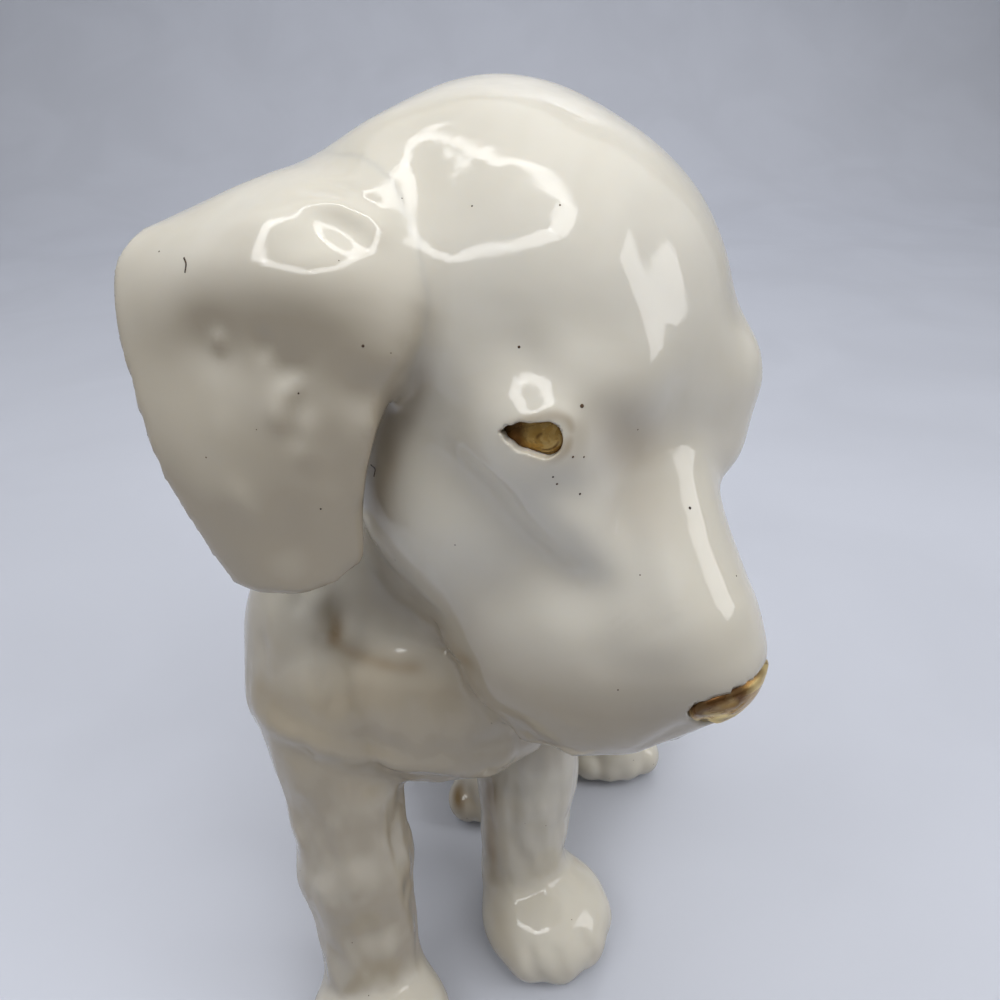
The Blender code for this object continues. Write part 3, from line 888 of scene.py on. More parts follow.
@dataclass
class Ear:
    """A hanging ear flap.

    Attributes:
        casting: Which ear it is.
        side: 1 for the left ear and -1 for the right ear.
        standoff: How far it stands off the skull.
        drop: How far it hangs lower than the other.
        voxel: The spacing of the grid that it is fused on.
        evenings: How often its skin is evened out.
        margin: How far round it its field reaches.
        band: The distance at which its field ends.
    """

    casting: Casting
    side: int
    standoff: float
    drop: float = 0.0
    length: float = 63.0
    thickness: float = 8.0
    voxel: float = 1.1
    evenings: int = 6
    margin: float = 8.0
    band: float = 7.0

    def rows(self, head: Head) -> list[Array]:
        """Places on the middle of the flap, from its front edge to its back edge.

        Args:
            head: The head that carries the ear.

        Returns:
            One array for each row, from the root over the fold to the tip.
        """
        rows = (
            ((-0.23, -7, 6), (-0.09, 1, 7), (0.1, 7.9, 4), (0.28, 15.3, -5.2), (0.34, 22.6, -14.2)),
            ((-0.27, -13, 5), (0.09, -9, 6.5), (0.35, -2.2, 4.8), (0.54, 10.6, -6),
             (0.55, 24, -17.6)),
            ((-0.32, -21, -1.5), (0.34, -17, -0.5), (0.7, -10, -3.5), (0.92, 6, -12.5),
             (0.78, 22.5, -21)),
            ((-0.39, -25, -6), (0.66, -21, -10.5), (1.03, -17.5, -13), (1.12, 1.5, -18),
             (0.92, 18.5, -24)),
        )
        result = []
        for row in rows:
            root = np.array((0, row[0][1], row[0][2]), float)
            places = []
            for out, nose, crown in row:
                spot = root + (np.array((0, nose, crown)) - root) * self.length / 60
                spot[0] = self.side * (head.skull_width / 2 + out * self.standoff)
                spot[2] -= self.drop
                places.append(head.place(*spot))
            result.append(np.array(places))
        return result

    def sheet(self, head: Head) -> tuple[Array, Array]:
        """Makes the flap's closed skin.

        Args:
            head: The head that carries the ear.

        Returns:
            Its corners in millimetres and its triangles.
        """
        rows = self.rows(head)
        across, down = 21, 29
        grid = np.zeros((down, across, 3))
        for index in range(down):
            line = np.array([along(row, index / (down - 1)) for row in rows])
            grid[index] = [along(line, share) for share in np.linspace(0, 1, across)]
        number = np.arange(down * across).reshape(down, across)
        faces = np.stack(
            [number[:-1, :-1], number[:-1, 1:], number[1:, 1:], number[1:, :-1]], axis=-1
        ).reshape(-1, 4)
        obj = moulded("sheet", grid.reshape(-1, 3), faces.tolist())
        solidify = obj.modifiers.new("Thickness", "SOLIDIFY")
        solidify.thickness = self.thickness * MM
        solidify.offset = 0.0
        remesh = obj.modifiers.new("Fuse", "REMESH")
        remesh.mode = "VOXEL"
        remesh.voxel_size = self.voxel * MM
        smooth = obj.modifiers.new("Smooth", "SMOOTH")
        smooth.factor = 0.5
        smooth.iterations = self.evenings
        result = baked(obj)
        bpy.data.objects.remove(obj)
        result.calc_loop_triangles()
        corners = np.zeros(len(result.vertices) * 3)
        result.vertices.foreach_get("co", corners)
        triangles = np.zeros(len(result.loop_triangles) * 3, int)
        result.loop_triangles.foreach_get("vertices", triangles)
        return corners.reshape(-1, 3) / MM, triangles.reshape(-1, 3)

    def field(self, head: Head, pitch: float) -> Field:
        """The distances to the flap.

        Args:
            head: The head that carries the ear.
            pitch: The spacing of the grid.

        Returns:
            A field round the ear only.
        """
        corners, triangles = self.sheet(head)
        low, high = corners.min(0) - self.margin, corners.max(0) + self.margin
        scaled = (corners - low) / pitch
        band = self.band / pitch
        grid = openvdb.FloatGrid.createLevelSetFromPolygons(
            points=scaled.astype(np.float32), triangles=triangles.astype(np.uint32), halfWidth=band
        )
        count = np.ceil((high - low) / pitch).astype(int) + 1
        values = np.full(count, band, np.float32)
        grid.copyToArray(values)
        return Field(low, high, pitch, values * pitch)


@dataclass
class Torso:
    """Chest, shoulders, back, rump and thighs."""

    rump: Triple = (8.0, 0.0, 31.0)
    chest_width: float = 54.0
    rump_width: float = 70.0
    thigh_spacing: float = 56.0
    thigh_length: float = 49.0
    bib_width: float = 47.0
    vent_diameter: float = 7.0

    def shapes(self) -> list[Shape]:
        """The lobes of the trunk."""
        chest, rump = self.chest_width / 2, self.rump_width / 2
        middle = np.array(self.rump)
        shapes: list[Shape] = [
            Limb(np.array((-13, -52, 84)), middle + (-4, -8, 15), chest - 1, rump - 4, 10),
            Lobe(np.array((-15, -60, 84)), (chest, 24, 30), 10),
            Lobe(np.array((-18, -74, 80)), (chest - 4, 13, 20), 8),
            Lobe(np.array((-13 - chest, -74, 84)), (12, 15, 24), 9),
            Lobe(np.array((-23 + chest, -62, 84)), (13, 16, 24), 9),
            Lobe(middle, (rump, 30, middle[2] + 5), 12),
        ]
        for side, back in ((1, 0), (-1, 5)):
            thigh = middle + (side * self.thigh_spacing / 2, back - 11, -6)
            shapes.append(Lobe(thigh, (16, self.thigh_length / 2, thigh[2] + 1), 7))
        return shapes

    def bib(self) -> list[Shape]:
        """The ruff of fur that stands off the chest."""
        turn = rotation(x=12, z=-12)
        return [Lobe(np.array((-22, -81.5, 76.2)), (self.bib_width / 2, 12, 17.4), 2.5, turn)]

    def vent(self) -> list[Shape]:
        """The hole under the seat through which the casting was drained."""
        foot = np.array((self.rump[0], 11.0, -6.0))
        radius = self.vent_diameter / 2
        return [Limb(foot, foot + (0, 0, 16), radius, radius, 0.8)]


@dataclass
class Foreleg:
    """A front leg with its paw.

    Attributes:
        casting: Which leg it is.
        pastern: The middle of the leg above the paw.
        lean: From the pastern to the elbow.
        toe_out: How far the paw is turned to the puppy's left, in degrees.
        reach: How far the paw's middle is ahead of the pastern.
        seam: The height at which the leg is luted to the shoulder.
    """

    casting: Casting
    pastern: Triple
    lean: Triple
    toe_out: float
    width: float = 19.4
    paw: float = 29.0
    toe: float = 10.6
    reach: float = 9.8
    seam: float = 46.0

    def shapes(self) -> list[Shape]:
        """The leg and the paw without its toes."""
        half = self.width / 2
        foot = np.array(self.pastern)
        knee = foot + 0.45 * np.array(self.lean)
        ahead = rotation(z=self.toe_out)
        middle = foot + ahead @ (0, -self.reach, -6.2)
        return [
            Limb(foot + self.lean, knee, half + 1.6, half + 0.2, 9),
            Limb(knee, foot, half + 0.2, half, 7),
            Lobe(middle, (self.paw / 2, self.paw / 2, 9.3), 6, ahead),
        ]

    def toes(self) -> list[Shape]:
        """The four toes."""
        ahead = rotation(z=self.toe_out)
        middle = np.array(self.pastern) + ahead @ (0, -self.reach, -7.4)
        toes: list[Shape] = []
        for angle in (-54, -18, 18, 54):
            way = np.array((sin(radians(angle)), -cos(radians(angle)), 0))
            spot = middle + ahead @ (way * (self.paw - self.toe) / 2 * 1.06)
            half = self.toe / 2
            toes.append(Lobe(spot, (half, half, half + 0.6), 1.8))
        return toes

    def holds(self, places: Array) -> Array:
        """Tells which places are on this leg below its seam.

        Args:
            places: Places, one a row.

        Returns:
            True or False for each place.
        """
        half = self.paw / 2 + 2.8
        middle = self.pastern[0] + sin(radians(self.toe_out)) * self.reach
        low = (middle - half, self.pastern[1] - self.paw, -FAR)
        high = (middle + half, self.pastern[1] + self.width / 2 + 6.3, self.seam)
        return boxed(places, low, high)


@dataclass
class HindFoot:
    """A hind foot that lies flat beside the belly.

    Attributes:
        casting: Which foot it is.
        front: The middle of the foot behind its toes.
        heel: From there to the heel.
        seam: How far behind the front the foot is luted to the thigh.
    """

    casting: Casting
    front: Triple
    heel: Triple
    width: float = 25.0
    toe: float = 10.6
    toe_drop: float = 4.2
    seam: float = 5.5
    height: float = 19.0

    def shapes(self) -> list[Shape]:
        """The sole and the toes."""
        half = self.width / 2 - 3
        front = np.array(self.front)
        shapes: list[Shape] = [Limb(front + self.heel, front, half, half - 0.3, 3)]
        pitch = (self.width - self.toe) / 3
        for index in range(4):
            across = (index - 1.5) * pitch
            spot = front + (across, abs(index - 1.5) * 1.3 - self.toe_drop, -1.8)
            shapes.append(Lobe(spot, (self.toe / 2, self.toe / 2 + 0.8, self.toe / 2), 1.6))
        return shapes

    def holds(self, places: Array) -> Array:
        """Tells which places are on this foot ahead of its seam.

        Args:
            places: Places, one a row.

        Returns:
            True or False for each place.
        """
        across, ahead, _ = self.front
        half = self.width / 2 + 3
        low = (across - half, ahead - self.width, -FAR)
        high = (across + half, ahead + self.seam, self.height)
        return boxed(places, low, high)


@dataclass
class Tail:
    """The tail, on the floor round the puppy's left side."""

    root: float = 8.0
    width: float = 16.0

    def shapes(self) -> list[Shape]:
        """The limbs of the tail."""
        route = ((2, 24, 9), (14, 33, 8), (28, 33, 7), (38, 26, 6))
        points = [np.array((self.root + x, y, z), float) for x, y, z in route]
        radii = [self.width * share / 2 for share in (1.1, 0.95, 0.8, 0.62)]
        return [Limb(points[i], points[i + 1], radii[i], radii[i + 1], 2.5) for i in range(3)]


def nearest(shapes: Iterable[Shape], places: Array) -> Array:
    """The distance from each place to the nearest of several shapes."""
    return np.min([shape.distance(places.T) for shape in shapes], axis=0)


def split(
    corners: Array, faces: list[tuple], chosen: Callable[[Array], Array]
) -> tuple[Array, list]:
    """Divides the chosen quads in four, and gives their neighbours the new corners too.

    Args:
        corners: All corners, one a row.
        faces: All faces.
        chosen: Tells which places are to be divided.

    Returns:
        The corners with the new ones after them, and the faces.
    """
    middles = np.array([corners[list(face)].mean(0) for face in faces])
    pick = chosen(middles)
    added: list[Array] = []
    halfway: dict[tuple[int, int], int] = {}

    def between(a: int, b: int) -> int:
        """The corner halfway along an edge."""
        key = (min(a, b), max(a, b))
        if key not in halfway:
            halfway[key] = len(corners) + len(added)
            added.append((corners[a] + corners[b]) / 2)
        return halfway[key]

    result = []
    for face, wanted, middle in zip(faces, pick, middles):
        if not wanted or len(face) != 4:
            continue
        ring = [between(face[k], face[(k + 1) % 4]) for k in range(4)]
        centre = len(corners) + len(added)
        added.append(middle)
        result += [(face[k], ring[k], centre, ring[k - 1]) for k in range(4)]
    for face, wanted in zip(faces, pick):
        if wanted and len(face) == 4:
            continue
        outline = []
        for k, corner in enumerate(face):
            outline.append(corner)
            other = face[(k + 1) % len(face)]
            key = (min(corner, other), max(corner, other))
            if key in halfway:
                outline.append(halfway[key])
        result.append(tuple(outline))
    if added:
        corners = np.concatenate([corners, added])
    return corners, result


def capped(name: str, corners: Array, faces: list[tuple], normals: Array) -> Object:
    """Makes a share of the skin an object and closes its open edges.

    Args:
        name: The object's name.
        corners: The share's corners in millimetres.
        faces: Its faces.
        normals: The way out of the surface at each corner.

    Returns:
        The object.
    """
    forward = {(face[k - 1], face[k]) for face in faces for k in range(len(face))}
    follow: dict[int, list[int]] = {}
    for a, b in sorted(forward):
        if (b, a) not in forward:
            follow.setdefault(b, []).append(a)
    middles, caps = [], []
    while follow:
        start = next(iter(follow))
        loop = [start]
        while True:
            options = follow[loop[-1]]
            step = options.pop()
            if not options:
                del follow[loop[-1]]
            if step == start:
                break
            loop.append(step)
        centre = len(corners) + len(middles)
        middles.append(corners[loop].mean(0))
        caps += [(loop[i], loop[(i + 1) % len(loop)], centre) for i in range(len(loop))]
    if middles:
        corners = np.concatenate([corners, middles])
        normals = np.concatenate([normals, [(0.0, 0.0, 1.0)] * len(middles)])
    return solid(name, corners, faces + caps, normals)


def solid(name: str, corners: Array, faces: list[tuple], normals: Array) -> Object:
    """Makes a mesh object with its own corner normals.

    Args:
        name: The object's name.
        corners: Its corners in millimetres.
        faces: Its faces.
        normals: The way out of the surface at each corner.

    Returns:
        The object.
    """
    obj = moulded(name, corners, faces)
    obj.data.shade_smooth()
    obj.data.normals_split_custom_set_from_vertices(normals.tolist())
    return obj


def paint(obj: Object, name: str, values: Array) -> None:
    """Gives a mesh an attribute, with 0 for corners past the end of the values."""
    layer = obj.data.attributes.new(name, "FLOAT", "POINT")
    extra = len(obj.data.vertices) - len(values)
    layer.data.foreach_set("value", np.append(values, np.zeros(extra)))


@dataclass
class GiltEye:
    """A gilded eye in its socket.

    Attributes:
        node: The CAD node that it stands for.
        side: 1 for the left eye and -1 for the right eye.
        sunk: How far the lens is sunk in its socket.
        half: Half sizes of the lens.
        rim: How far from the eye the skin is worked finely.
        strokes: The radii of the brush strokes.
        middle: The middle of its gilded part along the lens's axes.
        bared: The radii, first and last angles of the strokes worn through to brown.
        depth: How much its gold is darkened by painted shade for the hollow that it lies in.
    """

    node: str
    side: int
    sunk: float = 0.0
    half: Triple = (5.6, 3.1, 2.2)
    rim: float = 6.5
    strokes: tuple[float, ...] = (0.65, 1.05, 1.5, 1.95)
    block: float = 6.5
    middle: tuple[float, float] = (0.9, 0.35)
    bared: tuple[Triple, ...] = ((1.28, 10, 105), (1.75, 25, 95), (0.8, 190, 250))
    depth: float = 0.6

    def socket(self, head: Head) -> Almond:
        """The pit that the eye lies in."""
        lens = head.eye(self.side)
        return Almond(lens.centre, lens.turn)

    def arc(self, head: Head, radius: float, first: float, last: float) -> Array:
        """Gives an arc on the front of the lens, round the middle of its gilded part.

        Args:
            head: The head that carries the eye.
            radius: The arc's radius.
            first: Its first angle in degrees.
            last: Its last angle in degrees.

        Returns:
            Places along the arc.
        """
        lens = head.eye(self.side)
        places = []
        for angle in np.radians(np.linspace(first, last, 12)):
            x = self.middle[0] + radius * 1.25 * cos(angle)
            y = self.middle[1] + radius * sin(angle)
            rest = max(0.0, 1 - (x / self.half[0]) ** 2 - (y / self.half[1]) ** 2)
            places.append(lens.centre + lens.turn @ (x, y, self.half[2] * rest**0.5 - self.sunk))
        return np.array(places)

    def build(self, head: Head, gilding: Material, pitch: float) -> Object:
        """Makes the eye with its brush strokes.

        Args:
            head: The head that carries the eye.
            gilding: Its material.
            pitch: The spacing of its grid.

        Returns:
            The eye.
        """
        lens = head.eye(self.side)
        pit = self.socket(head)
        clay = Field(lens.centre - self.block, lens.centre + self.block, pitch)
        clay.join([Lobe(lens.centre - lens.turn[:, 2] * self.sunk, self.half, 0.0, lens.turn)])
        for number, radius in enumerate(self.strokes):
            stroke = self.arc(head, radius, -40 + 23 * number, 150 + 9 * number)
            clay.score(stroke, 0.16, 0.11)
            clay.score(self.arc(head, radius + 0.2, -20 + 17 * number, 120), 0.12, -0.07)
        outline = pit.distance(clay.grid()).astype(np.float32)
        clay.values = -smooth_union(-clay.values, -outline, 0.15)
        corners, faces = clay.skin()
        piece = solid(self.node + "_gilt", corners, faces.tolist(), clay.slope(corners))
        outer = (corners - lens.centre) @ lens.turn[:, 0]
        worn = 0.82 * ramp(outer, -0.9, -1.3)
        worn = np.maximum(worn, 0.7 * ramp(pit.distance(corners.T), -0.45, 0.45))
        for radius, first, last in self.bared:
            scratch = trace(corners, self.arc(head, radius, first, last), 0.14)
            worn = np.maximum(worn, 0.85 * scratch)
        paint(piece, "stained", worn)
        # Painted shade on the gold for the eye's hollow.
        paint(piece, "deep", np.full(len(corners), self.depth))
        piece.data.materials.append(gilding)
        return piece


@dataclass
class GiltNose:
    """The gilded nose leather on the tip of the muzzle.

    Attributes:
        node: The CAD node that it stands for.
        place: Its middle in the head's axes.
        half: Its half sizes.
        lift: How far the gilding stands proud of the muzzle.
        clay: The muzzle's tip, as it was before the nose was cut out of it.
    """

    node: str = "nose"
    place: Triple = (0.0, 63.4, 0.6)
    half: Triple = (7.8, 4.6, 4.6)
    lift: float = 0.3
    grain: float = 0.06
    clay: Field = None

    def pad(self, head: Head) -> Lobe:
        """The lobe whose outline the gilding has."""
        return head.lobe(self.place, self.half, 0.35)

    def take(self, head: Head, surface: Field, pitch: float) -> None:
        """Copies the muzzle's tip to a grid of this pitch before the nose is cut out of it."""
        low, high = self.pad(head).box()
        self.clay = surface.refined(low - 1.5, high + 1.5, pitch)

    def build(self, head: Head, gilding: Material) -> Object:
        """Makes the nose leather.

        Args:
            head: The head that carries the nose.
            gilding: Its material.

        Returns:
            The nose.
        """
        pad, clay = self.pad(head), self.clay
        places = clay.grid()
        grain = value_noise(listed(places), 0.9, 5).reshape(clay.values.shape) * self.grain
        clay.values -= (self.lift + grain).astype(np.float32)
        clay.values = -smooth_union(-clay.values, -pad.distance(places).astype(np.float32), 0.4)
        for side in (-1, 1):
            start, end = (side * 5.4, 65.5, -1.6), (side * 2.6, 68.4, -2.6)
            clay.carve([head.limb(start, end, (0.75, 1.0), 0.5)])
        corners, faces = clay.skin()
        piece = solid(self.node + "_gilt", corners, faces.tolist(), clay.slope(corners))
        inward = pad.distance(corners.T)
        aside, _, above = ((corners - head.place(*self.place)) @ head.axes()).T
        band = np.clip(1.35 + inward / 1.5 + 0.5 * value_noise(corners, 1.7, 11), 0, 1)
        band *= np.clip((1.5 - aside) / 4.0, 0.15, 1)
        worn = np.maximum(0.3 * ramp(inward, -0.8, 0.8), 0.9 * band * ramp(above, -1.5, 1.5))
        worn = np.maximum(worn, 0.7 * np.clip(value_noise(corners, 0.55, 12) * 4 - 1.9, 0, 1))
        for mark in NOSE_MARKS:
            spots = VIEW.struck(clay, mark.path)
            if len(spots) > 1:
                brushed = trace(corners, smooth_path(spots), mark.width)
                worn = np.maximum(worn, mark.amount * brushed)
        paint(piece, "stained", worn)
        piece.data.materials.append(gilding)
        return piece


# Where the painted shade on the glaze changes: where each change starts, and how much further on it
# ends.
SHADE_BY_SLOPE = (0.8, -0.75)
BELOW_CROWN = (118, -20)
BELOW_ELBOW = (60, -10)
FAR_SIDE = (-22, 8)
AHEAD = (50, 20)
BELOW_CHIN = (100, -12)
ABOVE_FLOOR = (4, 34)
CHEST = (55, 15)
# The heights between which the fur is modelled, in the same way.
FUR_FOOT = (12, 8)
FUR_TOP = (98, -14)


@dataclass
class Porcelain:
    """The whole porcelain figure as one skin.

    Attributes:
        pitch: The spacing of the grid that it is sculpted on.
        surface: The distances to its skin.
        flaps: The distances to each ear on its own.
        painted_shade_paths: Paths of painted brown shade, with their widths and strengths.
        close_ups: The fine field round each eye.
        web: How wide the fillets between the ears and the skull are.
        ridge: How far apart the ridges of the fur are.
        fur: How high they are.
        lock: By what they are stretched along each axis.
    """

    head: Head
    ears: list[Ear]
    torso: Torso
    forelegs: list[Foreleg]
    hind_feet: list[HindFoot]
    tail: Tail
    pitch: float
    surface: Field = None
    flaps: dict[Casting, Field] = field(default_factory=dict)
    painted_shade_paths: list[tuple[Array, float, float]] = field(default_factory=list)
    eyes: list[GiltEye] = field(default_factory=list)
    close_ups: list[Field] = field(default_factory=list)
    close_up: float = 9.0
    nose: GiltNose = field(default_factory=GiltNose)
    block: tuple[Triple, Triple] = ((-62, -128, -2.5), (64, 50, 182))
    web: float = 5.0
    ridge: float = 2.6
    fur: float = 0.32
    lock: Triple = (1.0, 1.0, 0.3)

    def sculpt(self) -> None:
        """Builds the field up from the lobes and works the modelling into it."""
        self.surface = Field(*self.block, self.pitch)
        surface = self.surface
        legs, feet = self.forelegs, self.hind_feet
        trunk = [self.torso.shapes(), [self.head.neck()], *(leg.shapes() for leg in legs)]
        paws = [self.torso.bib(), *(leg.toes() for leg in legs), *(foot.shapes() for foot in feet)]
        for shapes in [*trunk, *paws, self.tail.shapes(), self.head.shapes()]:
            surface.join(shapes)
        for ear in self.ears:
            flap = ear.field(self.head, self.pitch)
            self.flaps[ear.casting] = flap
            high = flap.low + np.array(flap.values.shape) * self.pitch
            part, places = surface.window(flap.low, high)
            skull = surface.values[part]
            distance = flap.sample(listed(places)).reshape(skull.shape).astype(np.float32)
            surface.values[part] = smooth_union(skull, distance, self.web)
        self.comb()
        for marks in (FORM_MARKS, BROW_MARKS, MUZZLE_MARKS, EYE_MARKS):
            self.work(marks)
        for marks in (EAR_MARKS, CHEST_MARKS, LEG_MARKS):
            self.work(marks, 1.1)
        self.mouth()
        for eye in self.eyes:
            middle = self.head.eye(eye.side).centre
            pitch = 0.18
            fine = surface.refined(middle - self.close_up, middle + self.close_up, pitch)
            fine.carve([eye.socket(self.head)])
            self.close_ups.append(fine)
        self.nose.take(self.head, surface, 0.2)
        surface.carve([eye.socket(self.head) for eye in self.eyes])
        surface.carve([self.nose.pad(self.head)])
        surface.carve(self.torso.vent())
        surface.level(0.0)

    def mouth(self) -> None:
        """Presses the line of the mouth in under the nose and along both flews."""
        lip = ((3, 62, -24), (9, 54, -30), (12, 44, -33), (13, 33, -32))
        cleft = ((0, 67, -5), (0, 66, -11), (0, 63, -19))
        for line in (cleft, lip, [(-left, nose, crown) for left, nose, crown in lip]):
            spots = np.array([self.head.place(*point) for point in line])
            for _ in range(8):
                spots = self.surface.settled(spots)
            self.surface.score(smooth_path(spots), 1.1, -0.85)

    def comb(self) -> None:
        """Gives the trunk and the legs the low ridges of modelled fur."""

        def pattern(spots: Array) -> Array:
            """The height of the ridges, none on the paws and the head."""
            stretched = spots * self.lock
            ridges = value_noise(stretched, self.ridge, 3) + 0.5 * value_noise(stretched, 1.3, 9)
            lumps = value_noise(spots, 7.0, 4)
            furred = ramp(spots[:, 2], *FUR_FOOT) * ramp(spots[:, 2], *FUR_TOP)
            return furred * (self.fur * ridges + 0.25 * lumps) + 0.1 * lumps

        self.surface.emboss(self.surface.low, self.surface.top(), pattern)

    def work(self, marks: Iterable[Mark], strength: float = 1.0) -> None:
        """Presses or raises the surface along marks, or keeps their paths for painted brown shade.

        Args:
            marks: The marks.
            strength: A factor for their depths and heights.
        """
        for mark in marks:
            spots = VIEW.struck(self.surface, mark.path)
            if not len(spots):
                continue
            path = smooth_path(spots) if len(spots) > 2 else spots
            if mark.tool is Tool.STAIN:
                # Brown marks are painted shade, coloured in later.
                self.painted_shade_paths.append((path, mark.width, mark.amount))
                continue
            height = strength * (mark.amount if mark.tool is Tool.RAISE else -mark.amount)
            self.surface.score(path, mark.width, height)

    def eyelids(self, corners: Array, faces: list) -> tuple[Array, list, Array, list[Array]]:
        """Gives the skin round the eyes finer faces and the shape of the finer fields.

        Args:
            corners: The head's corners.
            faces: The head's quads.

        Returns:
            Its corners, faces, normals and tints.
        """
        for share in (1.0, 0.86):
            for eye in self.eyes:
                middle, reach = self.head.eye(eye.side).centre, eye.rim * share
                corners, faces = split(
                    corners, faces, lambda spots: np.linalg.norm(spots - middle, axis=1) < reach
                )
        normals = self.surface.slope(corners)
        tints = list(self.colouring(corners, normals))
        for eye, fine in zip(self.eyes, self.close_ups):
            gap = np.linalg.norm(corners - self.head.eye(eye.side).centre, axis=1)
            near = np.nonzero(gap < eye.rim + 1.5)[0]
            weight = ramp(gap[near], eye.rim + 1.5, -1.5)[:, None]
            for _ in range(4):
                spots = corners[near]
                step = fine.slope(spots) * np.clip(fine.sample(spots), -0.25, 0.25)[:, None]
                corners[near] = spots - step * weight
            normals[near] = fine.slope(corners[near], 0.25) * weight + normals[near] * (1 - weight)
            # Pooled glaze and painted shade in the hollows round the eyes.
            pooled = fine.hollow(corners[near], normals[near], 0.9)
            tints[0][near] = pooled * weight[:, 0] + tints[0][near] * (1 - weight[:, 0])
        return corners, faces, normals, tints

    def colouring(self, places: Array, normals: Array) -> tuple[Array, Array, Array]:
        """Finds where the glaze pools and where shade is painted into its colour.

        Args:
            places: Corners of the skin, one a row.
            normals: The way out of the surface at each.

        Returns:
            The strength of the pooled glaze with painted shade in hollows, of the painted brown
            shade along the marks, and of the painted shade on steep faces and under the head at
            each corner, from 0 to 1.
        """
        # Pooled glaze and painted shade in the hollows.
        pooled = self.surface.hollow(places, normals, 1.8)
        stained = np.zeros(len(places))
        # Painted brown shade along the marks.
        for path, width, amount in self.painted_shade_paths:
            stained = np.maximum(stained, amount * trace(places, path, width))
        ahead, height = -places[:, 1], places[:, 2]
        # Painted shade on steep and downward faces: little on the head, full on the ears, less on
        # the far foreleg.
        slope_shade = ramp(normals[:, 2], *SHADE_BY_SLOPE)
        level = 0.25 + 0.75 * ramp(height, *BELOW_CROWN)
        for flap in self.flaps.values():
            inside = flap.inside(places)
            level[inside] = np.maximum(level[inside], 1 - 0.15 * flap.sample(places[inside]))
        far_leg = ramp(height, *BELOW_ELBOW) * ramp(places[:, 0], *FAR_SIDE)
        slope_shade *= np.clip(level, 0, 1) * (1 - 0.55 * far_leg)
        # Painted shadow of the head on the chest and the forelegs.
        shadow_under_head = ramp(ahead, *AHEAD) * ramp(height, *BELOW_CHIN) * ramp(height, *ABOVE_FLOOR)
        shadow_under_head *= (1 - 0.7 * far_leg) * (0.65 + 0.3 * ramp(height, *CHEST))
        return pooled, stained, np.maximum(slope_shade, shadow_under_head)

    def divide(self, places: Array) -> Array:
        """Tells which casting each place belongs to.

        Args:
            places: Places on the skin, one a row.

        Returns:
            The casting's number in the order of the Casting enum.
        """
        order = list(Casting)
        result = np.zeros(len(places), int)
        trunk = self.torso.shapes() + self.torso.bib()
        for leg in self.forelegs:
            trunk += leg.shapes()
        body = nearest(trunk, places)
        head = nearest(self.head.shapes(), places)
        axis = np.array(self.head.neck_head) - np.array(self.head.neck_foot)
        seam = (np.array(self.head.neck_head) + np.array(self.head.neck_foot)) / 2
        above = (places - seam) @ axis > 0
        result[above | (head < body)] = order.index(Casting.HEAD)
        for ear in self.ears:
            flap = self.flaps[ear.casting]
            inside = flap.inside(places)
            close = np.full(len(places), FAR)
            close[inside] = flap.sample(places[inside])
            result[close < np.minimum(np.minimum(head, body), 2.0)] = order.index(ear.casting)
        rear = nearest(self.tail.shapes(), places)
        result[rear < body] = order.index(Casting.TAIL)
        for part in [*self.hind_feet, *self.forelegs]:
            result[part.holds(places)] = order.index(part.casting)
        return result

    def pieces(self) -> dict[Casting, Object]:
        """Meshes the skin and divides it.

        Returns:
            A closed object for each casting.
        """
        corners, quads = self.surface.skin()
        log.info("skin: %d corners, %d quads", len(corners), len(quads))
        label = self.divide(corners[quads].mean(1))
        normals = self.surface.slope(corners)
        tints = self.colouring(corners, normals)
        result = {}
        for number, casting in enumerate(Casting):
            faces = quads[label == number]
            if not len(faces):
                continue
            used, local = np.unique(faces, return_inverse=True)
            own, shares = corners[used], local.reshape(-1, 4).tolist()
            own_normals, own_tints = normals[used], [tint[used] for tint in tints]
            if casting is Casting.HEAD:
                own, shares, own_normals, own_tints = self.eyelids(own, shares)
            piece = capped(casting.value + "_glazed", own, shares, own_normals)
            # Pooled glaze with painted shade, painted brown shade, and painted shade on steep faces
            # and under the head.
            for name, values in zip(("pooled", "stained", "thick"), own_tints):
                paint(piece, name, values)
            paint(piece, "bare", np.where((own[:, 2] < 0.7) & (own_normals[:, 2] < -0.3), 1.0, 0.0))
            result[casting] = piece
        return result


